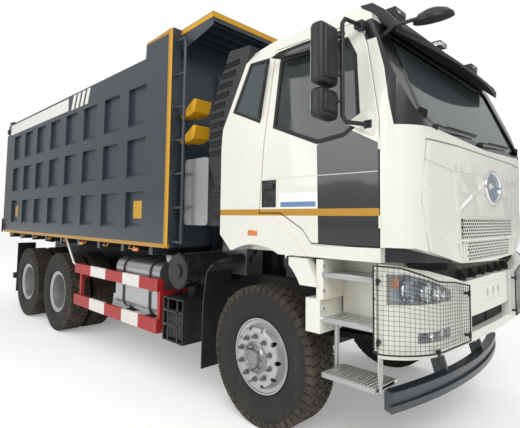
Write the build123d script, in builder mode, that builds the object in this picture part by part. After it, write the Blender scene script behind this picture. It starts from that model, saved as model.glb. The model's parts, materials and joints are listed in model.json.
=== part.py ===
"""A three-axle dump truck: hollow tilting cab, rear-tipping load body and a telescopic hoist.

Millimetres, +X forward, +Y to the left, +Z up. The origin is on the ground under the middle of
the truck's box. Places along the truck are given as a distance ahead of the front axle.
"""
import math
import os
from build123d import *

os.makedirs("parts", exist_ok=True)

# ---------------------------------------------------------------- driving sizes
WHEELBASE = 4200.0          # front axle to first rear axle
BOGIE_PITCH = 1350.0        # first to second rear axle
FRONT_OVERHANG = 1440.0     # front axle to the front panel's face
BODY_SETBACK = 1300.0       # front axle to the load body's front wall
BODY_LENGTH = 5800.0        # load body without its tailgate
TAILGATE_THICK = 90.0
TAILGATE_GAP = 10.0
REAR_OVERHANG = BODY_SETBACK + BODY_LENGTH + TAILGATE_GAP + TAILGATE_THICK
KERB_MIRROR_AHEAD = 1395.0  # the kerb mirror reaches further forward than the cab
KERB_MIRROR_RADIUS = 130.0
FRONT_REACH = max(FRONT_OVERHANG, KERB_MIRROR_AHEAD + KERB_MIRROR_RADIUS)
FRONT_AXLE_X = (REAR_OVERHANG - FRONT_REACH) / 2

SEAT_GAP = 0.3              # between pieces that sit on each other
RUNNING_GAP = 0.05          # radial clearance of a shaft in its bore
SEAM = 8.0                  # round the doors
LID_SEAM = 12.0             # round the front lid
LID_THICK = 26.0
GRILLE_SINK = 10.0
SEAL_LAP = 15.0             # how far a door's seal lip reaches behind the door
SEAL_THICK = 12.0

# wheels
TYRE_RADIUS = 561.0
TYRE_WIDTH = 300.0
LUG_DEPTH = 20.0
LUG_COUNT = 16
LUG_SHARE = 0.62            # of the pitch between lugs
BEAD_RADIUS = 262.0
RIM_RADIUS = 298.0
RIM_WALL = 10.0
HUB_RADIUS = 105.0
STUD_CIRCLE = 335.0
STUD_COUNT = 10
NUT_RADIUS = 17.0
NUT_HEIGHT = 28.0
DISC_FLAT = 212.0           # radius out to which a rim's disc is flat
HAND_HOLES = 10
HAND_HOLE_RADIUS = 19.0
HAND_HOLE_RING = 230.0
FRONT_TRACK = 2040.0        # between the front tyres' middles
REAR_TRACK = 1850.0         # between the middles of the twin pairs
TWIN_PITCH = 350.0

# frame
RAIL_OUTER = 430.0
RAIL_FLANGE = 80.0
RAIL_HEIGHT = 300.0
RAIL_WALL = 10.0
RAIL_TOP = 1080.0
RAIL_FRONT = 1150.0
RAIL_REAR = -6640.0
SUBFRAME_HEIGHT = 120.0
SUBFRAME_FRONT = -1350.0

# load body
BODY_HALF = 1240.0
BODY_BOTTOM = 1360.0
BODY_TOP = 3470.0
CORNER_TOP = 3676.0
BODY_WALL = 90.0
BODY_PLATE = 45.0
FLOOR_THICK = 70.0
HEADBOARD_THICK = 60.0
BAY_SHELF = 55.0            # rise of the sloped shelf under each bay
BAY_COUNT = 8
BAY_FIRST = -1962.0         # middle of the first bay
BAY_PITCH = 645.0
BAY_WIDTH = 415.0
BAY_ROWS = ((1600.0, 1960.0), (2180.0, 2570.0), (2780.0, 3180.0))   # bottom, top
HINGE_AHEAD = -6550.0
HINGE_Z = 1230.0
HINGE_RADIUS = 45.0
HINGE_EAR = 75.0            # half length of the frame's ears for the hinge shaft
CANOPY_TIP = -720.0
CANOPY_HALF = 1130.0
CANOPY_PLATE = 12.0

# hoist
HOIST_BASE_AHEAD = -900.0
HOIST_BASE_Z = 1040.0
HOIST_EYE_AHEAD = -1000.0
HOIST_EYE_Z = 2760.0
HOIST_PIN = 35.0
HOIST_RADII = (110.0, 92.0, 76.0, 61.0)     # barrel and three stages, outside
HOIST_FOOT = 50.0           # base pin to the barrel's end
HOIST_HEAD = 113.0          # barrel's top to the eye

# cab
CAB_HALF = 1240.0
CAB_WALL = 70.0
CAB_REAR = -420.0
CAB_PIVOT_AHEAD = 1120.0
CAB_PIVOT_Z = 950.0
CAB_PIN_RADIUS = 22.0
CAB_LUG_Y = (465.0, 505.0)
CAB_BOTTOM = 1405.0
BUMPER_REACH = 445.0        # radius about the tilt pins that the front end keeps inside
DOOR_SEAM_AHEAD = 1142.0


def ahead(distance):
    """The x of a place given as its distance ahead of the front axle."""
    return FRONT_AXLE_X + distance


REAR_AXLES = (-WHEELBASE, -WHEELBASE - BOGIE_PITCH)
AXLE_Z = TYRE_RADIUS
RAIL_BOTTOM = RAIL_TOP - RAIL_HEIGHT
SUBFRAME_TOP = RAIL_TOP + SUBFRAME_HEIGHT


def block(x, y, z, mode=Mode.ADD):
    """A block between low and high places, x given as distances ahead of the front axle."""
    centre = (ahead(sum(x) / 2), sum(y) / 2, sum(z) / 2)
    with Locations(centre):
        Box(abs(x[1] - x[0]), abs(y[1] - y[0]), abs(z[1] - z[0]), mode=mode)


def plate(outline, y, mode=Mode.ADD):
    """A plate cut to an outline of (ahead, z) points, between two y places."""
    low, high = min(y), max(y)
    with BuildSketch(Plane.XZ.offset(-low)) as face:
        with BuildLine():
            Polyline(*[(ahead(a), z) for a, z in outline], close=True)
        make_face()
    extrude(face.sketch, amount=low - high, mode=mode)


def bar_y(place, radius, y, mode=Mode.ADD):
    """A round bar along Y, centred on an (ahead, z) place."""
    with Locations(Location((ahead(place[0]), sum(y) / 2, place[1]), (90, 0, 0))):
        Cylinder(radius, abs(y[1] - y[0]), mode=mode)


def bar_x(y, z, radius, x, mode=Mode.ADD):
    """A round bar along X between two distances ahead."""
    with Locations(Location((ahead(sum(x) / 2), y, z), (0, 90, 0))):
        Cylinder(radius, abs(x[1] - x[0]), mode=mode)


def bar_z(place, y, radius, z, mode=Mode.ADD):
    """An upright round bar at a distance ahead."""
    with Locations((ahead(place), y, sum(z) / 2)):
        Cylinder(radius, abs(z[1] - z[0]), mode=mode)


def strut(start, end, radius, mode=Mode.ADD):
    """A round bar between two (ahead, y, z) places."""
    a, b = (Vector(ahead(p[0]), p[1], p[2]) for p in (start, end))
    with Locations(Plane(origin=(a + b) / 2, z_dir=b - a).location):
        Cylinder(radius, (b - a).length, mode=mode)


def both_sides(y):
    """The (low, high) pair as it stands on the right and on the left."""
    low, high = sorted(abs(v) for v in y)
    return ((-high, -low), (low, high))


def cone_y(place, y, radii):
    """A cone along Y between two y places, with the radius at each."""
    centre = Location((ahead(place), sum(y) / 2, AXLE_Z), (-90, 0, 0))
    with Locations(centre):
        Cone(*radii, y[1] - y[0])


def section_x(outline, x, mode=Mode.ADD):
    """A bar along X from a (y, z) section between two distances ahead."""
    with BuildSketch(Plane.YZ.offset(ahead(min(x)))) as face:
        with BuildLine():
            Polyline(*outline, close=True)
        make_face()
    extrude(face.sketch, amount=max(x) - min(x), mode=mode)


def finish(builder, name):
    """Label a finished piece and write its STEP file."""
    builder.part.label = name
    export_step(builder.part, f"parts/{name}.step")


# ---------------------------------------------------------------- cab form
CAB_SIDE = ((CAB_REAR, 1530), (CAB_REAR, 2460), (-126, 3123), (60, 3190), (900, 3200),
            (1040, 3090), (1375, 2290), (1430, 2150), (1440, 1940), (1425, 1355),
            (1300, 1378), (1200, CAB_BOTTOM), (640, CAB_BOTTOM), (-280, CAB_BOTTOM))
CAB_FRONT_ARC = 1440.0
CAB_CORNER_AHEAD = 1090.0
CAB_CORNER_Y = 985.0
CAB_CORNER_X = 1385.0


def cab_form(inset):
    """The cab's outer form, drawn in by an inset: side, plan and front outlines meet."""
    with BuildPart() as form:
        with BuildSketch(Plane.XY.offset(1200)):
            with BuildLine():
                side = CAB_HALF - inset
                tip = (ahead(CAB_CORNER_X) - inset, CAB_CORNER_Y - inset / 2)
                Line((ahead(CAB_REAR) + inset - 40, side), (ahead(CAB_CORNER_AHEAD), side))
                ThreePointArc((ahead(CAB_CORNER_AHEAD), side),
                              (ahead(CAB_CORNER_AHEAD) + 205 - inset * 0.6, side - 62 - inset * 0.15),
                              tip)
                ThreePointArc(tip, (ahead(CAB_FRONT_ARC) - inset, 0), (tip[0], -tip[1]))
                ThreePointArc((tip[0], -tip[1]),
                              (ahead(CAB_CORNER_AHEAD) + 205 - inset * 0.6, -side + 62 + inset * 0.15),
                              (ahead(CAB_CORNER_AHEAD), -side))
                Line((ahead(CAB_CORNER_AHEAD), -side), (ahead(CAB_REAR) + inset - 40, -side))
                Line((ahead(CAB_REAR) + inset - 40, -side), (ahead(CAB_REAR) + inset - 40, side))
            make_face()
        extrude(amount=2200)
        with BuildSketch(Plane.XZ.offset(-1500)):
            with BuildLine():
                Polyline(*[(ahead(a), z) for a, z in CAB_SIDE], close=True)
            make_face()
            if inset:
                offset(amount=-inset, kind=Kind.INTERSECTION)
        extrude(amount=3000, mode=Mode.INTERSECT)
        with BuildSketch(Plane.YZ.offset(ahead(-600))):
            with BuildLine():
                half = CAB_HALF - inset
                Polyline((-half, 1200), (-half, 2300), (-half + 60, 3020), (-half + 190, 3220 - inset),
                         (half - 190, 3220 - inset), (half - 60, 3020), (half, 2300), (half, 1200),
                         close=True)
            make_face()
        extrude(amount=2300, mode=Mode.INTERSECT)
    return form.part


CAB_OUTER = cab_form(0)
CAB_INNER = cab_form(CAB_WALL)
CAB_SKIN = cab_form(-SEAT_GAP)      # what sits on the cab stops here

DOOR_OUTLINE = ((DOOR_SEAM_AHEAD, 1504), (DOOR_SEAM_AHEAD + 5, 2305), (1038, 2846), (985, 2990),
                (900, 3045), (185, 3050), (70, 1720), (300, 1720), (520, 1600), (600, 1504))
WINDOW_OUTLINE = ((200, 2390), (235, 2956), (880, 2950), (960, 2800), (1010, 2310), (880, 2235), (647, 2210))
QUARTER_OUTLINE = ((-124, 3010), (118, 3000), (55, 2450), (-307, 2600))
WINDSHIELD_OUTLINE = ((-1090, 2330), (-1010, 2985), (1010, 2985), (1090, 2330), (900, 2270), (0, 2235),
                      (-900, 2270))
NOSE_EDGE = ((0, 1375), (640, 1395), (1056, 1476), (1140, 1500), (1400, 1504), (1400, 1200), (0, 1200))
NOSE_CUT = 45.0
FLAP_OUTLINE = ((-1050, 2180), (1050, 2180), (1090, 1800), (1040, 1480), (640, 1385), (0, 1362),
                (-640, 1385), (-1040, 1480), (-1090, 1800))


def shrink(points, amount):
    """A Face of an outline in its own plane drawn in (or out) by an amount."""
    with BuildSketch() as face:
        with BuildLine():
            Polyline(*points, close=True)
        make_face()
        if amount:
            offset(amount=-amount, kind=Kind.INTERSECTION)
    return face.sketch


def side_prism(outline, y, amount=0.0, mode=Mode.ADD):
    """A prism across Y from an (ahead, z) outline drawn in by an amount."""
    low, high = min(y), max(y)
    face = Plane.XZ.offset(-low) * shrink([(ahead(a), z) for a, z in outline], amount)
    extrude(face, amount=low - high, mode=mode)


def front_prism(outline, x, amount=0.0, mode=Mode.ADD):
    """A prism along X from a (y, z) outline drawn in by an amount."""
    face = Plane.YZ.offset(ahead(min(x))) * shrink(outline, amount)
    extrude(face, amount=max(x) - min(x), mode=mode)


ARCH_CENTRE = (30.0, 1040.0)
ARCH_RADII = (515.0, 425.0)
ARCH_BAND = (135.0, 205.0)  # added to the radii for the lip's outer edge
ARCH_LIP = 14.0
ARCH_DEPTH = 200.0


def arch_ring(z, x, y):
    """The part of the wheel arch's lip inside a range of heights and distances ahead."""
    with BuildSketch(Plane.XZ.offset(-y[0])) as ring:
        with Locations((ahead(ARCH_CENTRE[0]), ARCH_CENTRE[1])):
            Ellipse(ARCH_RADII[0] + ARCH_BAND[0], ARCH_RADII[1] + ARCH_BAND[1])
            Ellipse(*ARCH_RADII, mode=Mode.SUBTRACT)
        with Locations((ahead(sum(x) / 2), sum(z) / 2)):
            Rectangle(x[1] - x[0], z[1] - z[0], mode=Mode.INTERSECT)
    extrude(ring.sketch, amount=y[0] - y[1])


def arch_hole(y):
    """The opening inside the wheel arch's lip."""
    with BuildSketch(Plane.XZ.offset(-y[0])) as hole:
        with Locations((ahead(ARCH_CENTRE[0]), ARCH_CENTRE[1])):
            Ellipse(*ARCH_RADII)
    extrude(hole.sketch, amount=y[0] - y[1], mode=Mode.SUBTRACT)


SEAL_FACE = cab_form(CAB_WALL + SEAT_GAP)
LID_FACE = cab_form(LID_THICK + SEAT_GAP)
CAB_FLOOR_Z = CAB_BOTTOM + CAB_WALL
REAR_WINDOW = ((-500, 2450), (-500, 2800), (500, 2800), (500, 2450))


def seal_lips():
    """Lips round both door openings, a little behind the closed doors."""
    with BuildPart() as lips:
        for side in (-1, 1):
            reach = (side * 900, side * CAB_HALF)
            side_prism(DOOR_OUTLINE, reach, -SEAM - SEAL_LAP)
            side_prism(DOOR_OUTLINE, reach, SEAL_LAP, Mode.SUBTRACT)
        add(cab_form(CAB_WALL - SEAL_THICK), mode=Mode.INTERSECT)
        add(cab_form(CAB_WALL + SEAL_THICK), mode=Mode.SUBTRACT)
        block((DOOR_SEAM_AHEAD - 42, 1500), (-1300, 1300), (1400, 3200), Mode.SUBTRACT)
    return lips.part


def door_spaces():
    """What the two doors and the seams round them take out of the cab's wall."""
    with BuildPart() as spaces:
        for side in (-1, 1):
            side_prism(DOOR_OUTLINE, (side * 900, side * (CAB_HALF + 60)), -SEAM)
        add(SEAL_FACE, mode=Mode.SUBTRACT)
    return spaces.part


def nose_cut():
    """What the front corners lose low down, so that the cab's lower edge runs on round the nose."""
    with BuildPart() as band:
        for side in (-1, 1):
            front_prism([(side * y, z) for y, z in NOSE_EDGE], (DOOR_SEAM_AHEAD + SEAM, 1600))
        add(cab_form(NOSE_CUT), mode=Mode.SUBTRACT)
    return band.part


def lid_space():
    """The shallow recess that the front lid closes."""
    with BuildPart() as space:
        front_prism(FLAP_OUTLINE, (1245, 1600), -LID_SEAM)
        add(LID_FACE, mode=Mode.SUBTRACT)
    return space.part


with BuildPart() as cab_shell:
    add(CAB_OUTER)
    add(CAB_INNER, mode=Mode.SUBTRACT)
    add(seal_lips())
    add(door_spaces(), mode=Mode.SUBTRACT)
    add(lid_space(), mode=Mode.SUBTRACT)
    add(nose_cut(), mode=Mode.SUBTRACT)
    for side in (-1, 1):
        side_prism(QUARTER_OUTLINE, (side * 900, side * (CAB_HALF + 60)), 0, Mode.SUBTRACT)
    front_prism(WINDSHIELD_OUTLINE, (900, 1600), 0, Mode.SUBTRACT)
    front_prism(REAR_WINDOW, (-600, -200), 0, Mode.SUBTRACT)
    # wheel arches: the lip stands proud of the side, and the opening is cut up into the floor
    for y in both_sides((CAB_HALF - 20, CAB_HALF + ARCH_LIP)):
        arch_ring((CAB_BOTTOM, 2000), (-270, 700), y)
    for y in both_sides((CAB_HALF - ARCH_DEPTH, CAB_HALF + 50)):
        arch_hole(y)
    # arms down to the tilt pins, swept back so that they clear the bumper as the cab tips
    for y in both_sides(CAB_LUG_Y):
        plate(((CAB_PIVOT_AHEAD - 30, CAB_PIVOT_Z - 38), (CAB_PIVOT_AHEAD + 34, CAB_PIVOT_Z - 20),
               (CAB_PIVOT_AHEAD + 24, CAB_PIVOT_Z + 36), (880, CAB_BOTTOM + 10), (740, CAB_BOTTOM + 10)), y)
    bar_y((CAB_PIVOT_AHEAD, CAB_PIVOT_Z), CAB_PIN_RADIUS + RUNNING_GAP, (-600, 600), Mode.SUBTRACT)
finish(cab_shell, "cab_shell")

GLASS_THICK = 8.0
GLASS_INSET = 14.0
GLASS_OUTER = cab_form(GLASS_INSET)
GLASS_INNER = cab_form(GLASS_INSET + GLASS_THICK)

with BuildPart() as cab_glass:
    add(GLASS_OUTER)
    add(GLASS_INNER, mode=Mode.SUBTRACT)
    with BuildPart(mode=Mode.PRIVATE) as panes:
        front_prism(WINDSHIELD_OUTLINE, (900, 1600), SEAT_GAP)
        front_prism(REAR_WINDOW, (-600, -200), SEAT_GAP)
        for side in (-1, 1):
            side_prism(QUARTER_OUTLINE, (side * 1100, side * 1300), SEAT_GAP)
    add(panes.part, mode=Mode.INTERSECT)
finish(cab_glass, "cab_glass")

# ---------------------------------------------------------------- doors
MIRROR_AHEAD = 905.0
MIRROR_Y = 1490.0
MIRROR_HALF = 95.0


def door_leaf():
    """The right door: its piece of the cab's wall, with the window cut."""
    with BuildPart() as leaf:
        side_prism(DOOR_OUTLINE, (-1400, -900))
        add(CAB_OUTER, mode=Mode.INTERSECT)
        add(CAB_INNER, mode=Mode.SUBTRACT)
        side_prism(WINDOW_OUTLINE, (-1400, -900), 0, Mode.SUBTRACT)
    return leaf.part


def door_pane():
    """The right door's glass."""
    with BuildPart() as pane:
        side_prism(WINDOW_OUTLINE, (-1400, -900), SEAT_GAP)
        add(GLASS_OUTER, mode=Mode.INTERSECT)
        add(GLASS_INNER, mode=Mode.SUBTRACT)
    return pane.part


def door_mirrors():
    """The right door's mirrors: two heads on an upright tube with two arms to the door."""
    with BuildPart() as heads:
        for low, high in ((2527, 2930), (2305, 2505)):
            block((MIRROR_AHEAD - 45, MIRROR_AHEAD + 55), (-MIRROR_Y - MIRROR_HALF, -MIRROR_Y + MIRROR_HALF),
                  (low, high))
        fillet(heads.edges().filter_by(Axis.X), 35)
        bar_z(MIRROR_AHEAD, -MIRROR_Y, 15, (2270, 3050))
        strut((MIRROR_AHEAD, -MIRROR_Y, 2290), (1075, -CAB_HALF - 10, 2290), 12)
        block((1045, 1105), (-CAB_HALF - 12, -CAB_HALF - SEAT_GAP), (2262, 2318))
        strut((MIRROR_AHEAD, -MIRROR_Y, 3030), (1000, -CAB_HALF + 42, 2985), 12)
    return heads.part


for name, piece in (("door", door_leaf()), ("door_glass", door_pane()), ("door_mirrors", door_mirrors())):
    for word, solid in (("right", piece), ("left", mirror(piece, Plane.XZ))):
        with BuildPart() as copied:
            add(solid)
        finish(copied, f"{name}_{word}")

# ---------------------------------------------------------------- front lid
GRILLE_ROWS = ((1402.0, 1514.0), (1556.0, 1674.0))      # bottom, top of each strip
GRILLE_HALF = 595.0
GRILLE_SLOTS = 28
GRILLE_SLOT = 18.0
with BuildPart() as front_lid:
    front_prism(FLAP_OUTLINE, (1250, 1600))
    add(CAB_OUTER, mode=Mode.INTERSECT)
    # the strips lie a little lower than the panel
    with BuildPart(mode=Mode.PRIVATE) as strips:
        for low, high in GRILLE_ROWS:
            block((1250, 1600), (-GRILLE_HALF - 25, GRILLE_HALF + 25), (low - 12, high + 12))
        add(cab_form(GRILLE_SINK), mode=Mode.SUBTRACT)
    add(strips.part, mode=Mode.SUBTRACT)
    add(cab_form(LID_THICK), mode=Mode.SUBTRACT)
    pitch = 2 * GRILLE_HALF / GRILLE_SLOTS
    for low, high in GRILLE_ROWS:
        for column in range(GRILLE_SLOTS):
            y = -GRILLE_HALF + pitch * (column + 0.5)
            block((1300, 1500), (y - GRILLE_SLOT / 2, y + GRILLE_SLOT / 2), (low, high), Mode.SUBTRACT)
finish(front_lid, "front_lid")

# ---------------------------------------------------------------- on the cab
VISOR_REACH = 1300.0        # ahead of the axle, in the middle
VISOR_HALF = 1060.0
with BuildPart() as sun_visor:
    plate(((940, 3155), (1040, 3060), (1180, 2935), (VISOR_REACH, 2900), (VISOR_REACH, 2925), (1195, 2990),
           (1090, 3130), (1000, 3205), (900, 3215)), (-VISOR_HALF, VISOR_HALF))
    with BuildSketch(Plane.XY.offset(2800)) as bow:
        with BuildLine():
            Polyline((ahead(1190), VISOR_HALF), (ahead(700), VISOR_HALF), (ahead(700), -VISOR_HALF),
                     (ahead(1190), -VISOR_HALF))
            ThreePointArc((ahead(1190), -VISOR_HALF), (ahead(VISOR_REACH), 0), (ahead(1190), VISOR_HALF))
        make_face()
    extrude(bow.sketch, amount=600, mode=Mode.INTERSECT)
    add(CAB_SKIN, mode=Mode.SUBTRACT)
    # two marker lamps on top
    for y in both_sides((700, 860)):
        block((975, 1075), y, (3150, 3232))
    add(CAB_SKIN, mode=Mode.SUBTRACT)
finish(sun_visor, "sun_visor")

KERB_MIRROR_Y = -960.0
KERB_MIRROR_Z = 2985.0
with BuildPart() as front_mirror:
    with BuildSketch(Plane.XZ):
        with BuildLine():
            Polyline((0, 0), (KERB_MIRROR_RADIUS, 0), (KERB_MIRROR_RADIUS * 0.97, 22),
                     (KERB_MIRROR_RADIUS * 0.72, 52), (KERB_MIRROR_RADIUS * 0.36, 70), (0, 75), close=True)
        make_face()
    revolve(axis=Axis.Z)
MIRROR_HEAD = Location((ahead(KERB_MIRROR_AHEAD), KERB_MIRROR_Y, KERB_MIRROR_Z), (15, 0, 0)) * front_mirror.part
with BuildPart() as front_mirror:
    add(MIRROR_HEAD)
    strut((KERB_MIRROR_AHEAD - 40, KERB_MIRROR_Y - 20, KERB_MIRROR_Z + 30), (1180, -1080, 2975), 13)
    strut((1180, -1080, 2975), (1060, -1100, 2900), 13)
    add(CAB_SKIN, mode=Mode.SUBTRACT)
finish(front_mirror, "front_mirror")

STACK_Y = (-1180.0, -960.0)
STACK_BOTTOM = 1960.0
STACK_SLOTS = 10
with BuildPart() as intake_stack:
    plate(((CAB_REAR - 150, STACK_BOTTOM), (CAB_REAR - SEAT_GAP, STACK_BOTTOM), (CAB_REAR - SEAT_GAP, 2460),
           (-133, 3110), (-133, 3180), (-400, 3195), (CAB_REAR - 262, 2640), (CAB_REAR - 262, 2200)), STACK_Y)
    # louvres down the side and the back
    for slot in range(STACK_SLOTS):
        z = 2240 + 88 * slot
        back = CAB_REAR - 262 + max(0.0, z - 2640) * 0.52
        plate(((back - 30, z), (back + 215, z + 12), (back + 215, z + 62), (back - 30, z + 50)),
              (STACK_Y[0] - 1, STACK_Y[0] + 14), Mode.SUBTRACT)
    # bellows under it
    for ring in range(7):
        block((CAB_REAR - 215, CAB_REAR - 75), (-1150, -1000), (1650 + 44 * ring, 1680 + 44 * ring))
    block((CAB_REAR - 205, CAB_REAR - 85), (-1140, -1010), (1650, STACK_BOTTOM + 1))
    plate(((CAB_REAR - 240, 1600), (CAB_REAR - 60, 1600), (CAB_REAR - 75, 1660), (CAB_REAR - 215, 1660)),
          (-1165, -985))
finish(intake_stack, "intake_stack")

WHEEL_RADIUS = 225.0        # steering wheel
with BuildPart() as dashboard:
    plate(((780, 2020), (1100, 2190), (1400, 2190), (1400, 1900), (900, 1700)), (-1130, 1130))
    add(SEAL_FACE, mode=Mode.INTERSECT)
    with Locations(Location((ahead(640), 560, 2230), (0, -65, 0))):
        Cylinder(WHEEL_RADIUS, 28)
        Cylinder(WHEEL_RADIUS - 28, 30, mode=Mode.SUBTRACT)
    strut((640, 560 - WHEEL_RADIUS + 10, 2230), (640, 560 + WHEEL_RADIUS - 10, 2230), 11)
    strut((850, 560, 1960), (632, 560, 2234), 28)
finish(dashboard, "dashboard")

with BuildPart() as seats:
    for y in (-560, 560):
        plate(((-60, 1779), (440, 1779), (480, 1850), (455, 1930), (-60, 1915)), (y - 250, y + 250))
        plate(((-90, 1900), (50, 1900), (-30, 2440), (-60, 2470), (-150, 2470)), (y - 240, y + 240))
        plate(((-140, 2460), (-70, 2460), (-90, 2640), (-150, 2640)), (y - 130, y + 130))
        block((60, 380), (y - 170, y + 170), (CAB_FLOOR_Z + SEAT_GAP, 1780))
finish(seats, "seats")

# ---------------------------------------------------------------- frame
with BuildPart() as frame_rails:
    for y in both_sides((RAIL_OUTER - RAIL_FLANGE, RAIL_OUTER)):
        block((RAIL_REAR, RAIL_FRONT), y, (RAIL_BOTTOM, RAIL_TOP))
    for y in both_sides((0, RAIL_OUTER - RAIL_WALL)):
        block((RAIL_REAR - 1, RAIL_FRONT + 1), y, (RAIL_BOTTOM + RAIL_WALL, RAIL_TOP - RAIL_WALL), Mode.SUBTRACT)
    for y in both_sides((RAIL_OUTER - RAIL_FLANGE, RAIL_OUTER)):
        block((RAIL_REAR, SUBFRAME_FRONT), y, (RAIL_TOP, SUBFRAME_TOP))
    for y in both_sides((RAIL_OUTER - 30, RAIL_OUTER)):
        block((HINGE_AHEAD - HINGE_EAR, HINGE_AHEAD + HINGE_EAR), y, (SUBFRAME_TOP, HINGE_Z + HINGE_EAR - 10))
    bar_y((HINGE_AHEAD, HINGE_Z), HINGE_RADIUS + SEAT_GAP, (-620, 620), Mode.SUBTRACT)
    # pins for the cab's lugs
    for side in (-1, 1):
        bar_y((CAB_PIVOT_AHEAD, CAB_PIVOT_Z), CAB_PIN_RADIUS,
              (side * (RAIL_OUTER - RAIL_WALL), side * (CAB_LUG_Y[1] + 15)))
    # fuel tank and box brackets reach out from the right rail
    for place in (-1780, -2240):
        block((place - 30, place + 30), (-1160, -RAIL_OUTER), (560, 600 - SEAT_GAP))
        block((place - 30, place + 30), (-500, -RAIL_OUTER), (560, RAIL_BOTTOM + 120))
finish(frame_rails, "frame_rails")

CROSS_PLACES = (1060, -1500, -2700, -3600, -4875, -6100, RAIL_REAR + 40)
CROSS_HALF = RAIL_OUTER - RAIL_WALL - SEAT_GAP
with BuildPart() as frame_crossmembers:
    for place in CROSS_PLACES:
        block((place - 40, place + 40), (-CROSS_HALF, CROSS_HALF), (RAIL_BOTTOM + 40, RAIL_TOP - 40))
    # hoist cradle: a cross beam with two ears
    block((HOIST_BASE_AHEAD - 120, HOIST_BASE_AHEAD + 120), (-CROSS_HALF, CROSS_HALF), (860, 920))
    for y in both_sides((150, 190)):
        block((HOIST_BASE_AHEAD - 80, HOIST_BASE_AHEAD + 80), y, (920, HOIST_BASE_Z + 70))
    bar_y((HOIST_BASE_AHEAD, HOIST_BASE_Z), HOIST_PIN, (-200, 200))
    # the shaft that the load body turns on
    bar_y((HINGE_AHEAD, HINGE_Z), HINGE_RADIUS, (-620, 620))
finish(frame_crossmembers, "frame_crossmembers")

with BuildPart() as rear_bar:
    block((RAIL_REAR - 60, RAIL_REAR + 40), (-1150, 1150), (500, 600))
    for y in both_sides((RAIL_OUTER - RAIL_FLANGE, RAIL_OUTER)):
        block((RAIL_REAR - 60, RAIL_REAR + 40), y, (599, RAIL_BOTTOM - SEAT_GAP))
finish(rear_bar, "rear_bar")

# ---------------------------------------------------------------- wheels
TREAD_HALF = 125.0
BEAD_HALF = TYRE_WIDTH / 2 * 0.72
SHOULDER_RADIUS = 534.0
BULGE_RADII = (440.0, 455.0)


def ring_point(radius, angle):
    """A point on a circle about the wheel's axis, lowest at angle 0."""
    return (radius * math.sin(angle), -radius * math.cos(angle))


def tread_outline():
    """The tread's toothed section: flat-topped lugs with grooves between them."""
    pitch = 2 * math.pi / LUG_COUNT
    half_top, half_foot = pitch * LUG_SHARE / 2, pitch * LUG_SHARE * 0.55
    top = TYRE_RADIUS / math.cos(half_top)
    floor = TYRE_RADIUS - LUG_DEPTH
    points = []
    for lug in range(LUG_COUNT):
        for radius, turn in ((floor, -half_foot), (top, -half_top), (top, half_top), (floor, half_foot)):
            points.append(ring_point(radius, lug * pitch + turn))
    return points


def polygon_loft(side, near, far, mode):
    """A faceted cone along Y on one side of the tyre, between two (y, radius) pairs."""
    with BuildSketch(Plane.XZ.offset(-side * near[0])) as face:
        RegularPolygon(near[1], LUG_COUNT)
    length = far[0] - near[0]
    slope = (near[1] - far[1]) * math.cos(math.pi / LUG_COUNT) / abs(length)
    extrude(face.sketch, amount=-side * length, taper=math.degrees(math.atan(slope)), mode=mode)


def tyre_solid():
    """A lugged tyre about Y at the origin: toothed tread, ruled shoulders and walls, open bore."""
    with BuildPart() as tyre:
        with BuildSketch(Plane.XZ.offset(-TREAD_HALF)) as tread:
            with BuildLine():
                Polyline(*tread_outline(), close=True)
            make_face()
        extrude(tread.sketch, amount=2 * TREAD_HALF)
        # each wall swells out from the shoulder, then is hollowed back in to the bead
        for side in (-1, 1):
            polygon_loft(side, (TREAD_HALF, SHOULDER_RADIUS), (TYRE_WIDTH / 2, BULGE_RADII[1]), Mode.ADD)
            polygon_loft(side, (BEAD_HALF, RIM_RADIUS + 8), (TYRE_WIDTH / 2, BULGE_RADII[0]), Mode.SUBTRACT)
        with BuildSketch(Plane.XZ) as bore:
            RegularPolygon(BEAD_RADIUS, LUG_COUNT, major_radius=False)
        extrude(bore.sketch, amount=TYRE_WIDTH, both=True, mode=Mode.SUBTRACT)
    return tyre.part


def rim_profile(disc, dish):
    """Half section of a rim in (y, radius): barrel, flanges and a dished disc, outside towards -Y."""
    half = BEAD_HALF + SEAT_GAP
    bead = BEAD_RADIUS - SEAT_GAP
    with BuildSketch(Plane.YZ) as profile:
        with BuildLine():
            Polyline((-half - 14, RIM_RADIUS), (-half, RIM_RADIUS), (-half, bead), (half, bead),
                     (half, RIM_RADIUS), (half + 14, RIM_RADIUS), (half + 14, bead - RIM_WALL),
                     (-half - 14, bead - RIM_WALL), close=True)
        make_face()
        with BuildLine():
            Polyline((disc, 60), (disc, DISC_FLAT), (dish, bead - RIM_WALL + 2),
                     (dish + DISC_THICK, bead - RIM_WALL + 2), (disc + DISC_THICK, DISC_FLAT),
                     (disc + DISC_THICK, 60), close=True)
        make_face()
    return profile.sketch


def rim_solid(disc, dish):
    """A rim about Y at the origin with its ring of hand holes."""
    with BuildPart() as rim:
        revolve(rim_profile(disc, dish), axis=Axis.Y)
        with BuildSketch(Plane.XZ.offset(-disc - 200)) as holes:
            with PolarLocations(HAND_HOLE_RING, HAND_HOLES):
                RegularPolygon(HAND_HOLE_RADIUS, 8)
        extrude(holes.sketch, amount=400, both=True, mode=Mode.SUBTRACT)
    return rim.part


def wheel_nuts(place, face, side):
    """The ring of wheel nuts standing out from a disc's face."""
    with BuildSketch(Plane.XZ.offset(-face)) as nuts:
        with Locations((ahead(place), AXLE_Z)):
            with PolarLocations(STUD_CIRCLE / 2, STUD_COUNT):
                RegularPolygon(NUT_RADIUS, 6)
    extrude(nuts.sketch, amount=-side * NUT_HEIGHT)


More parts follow.
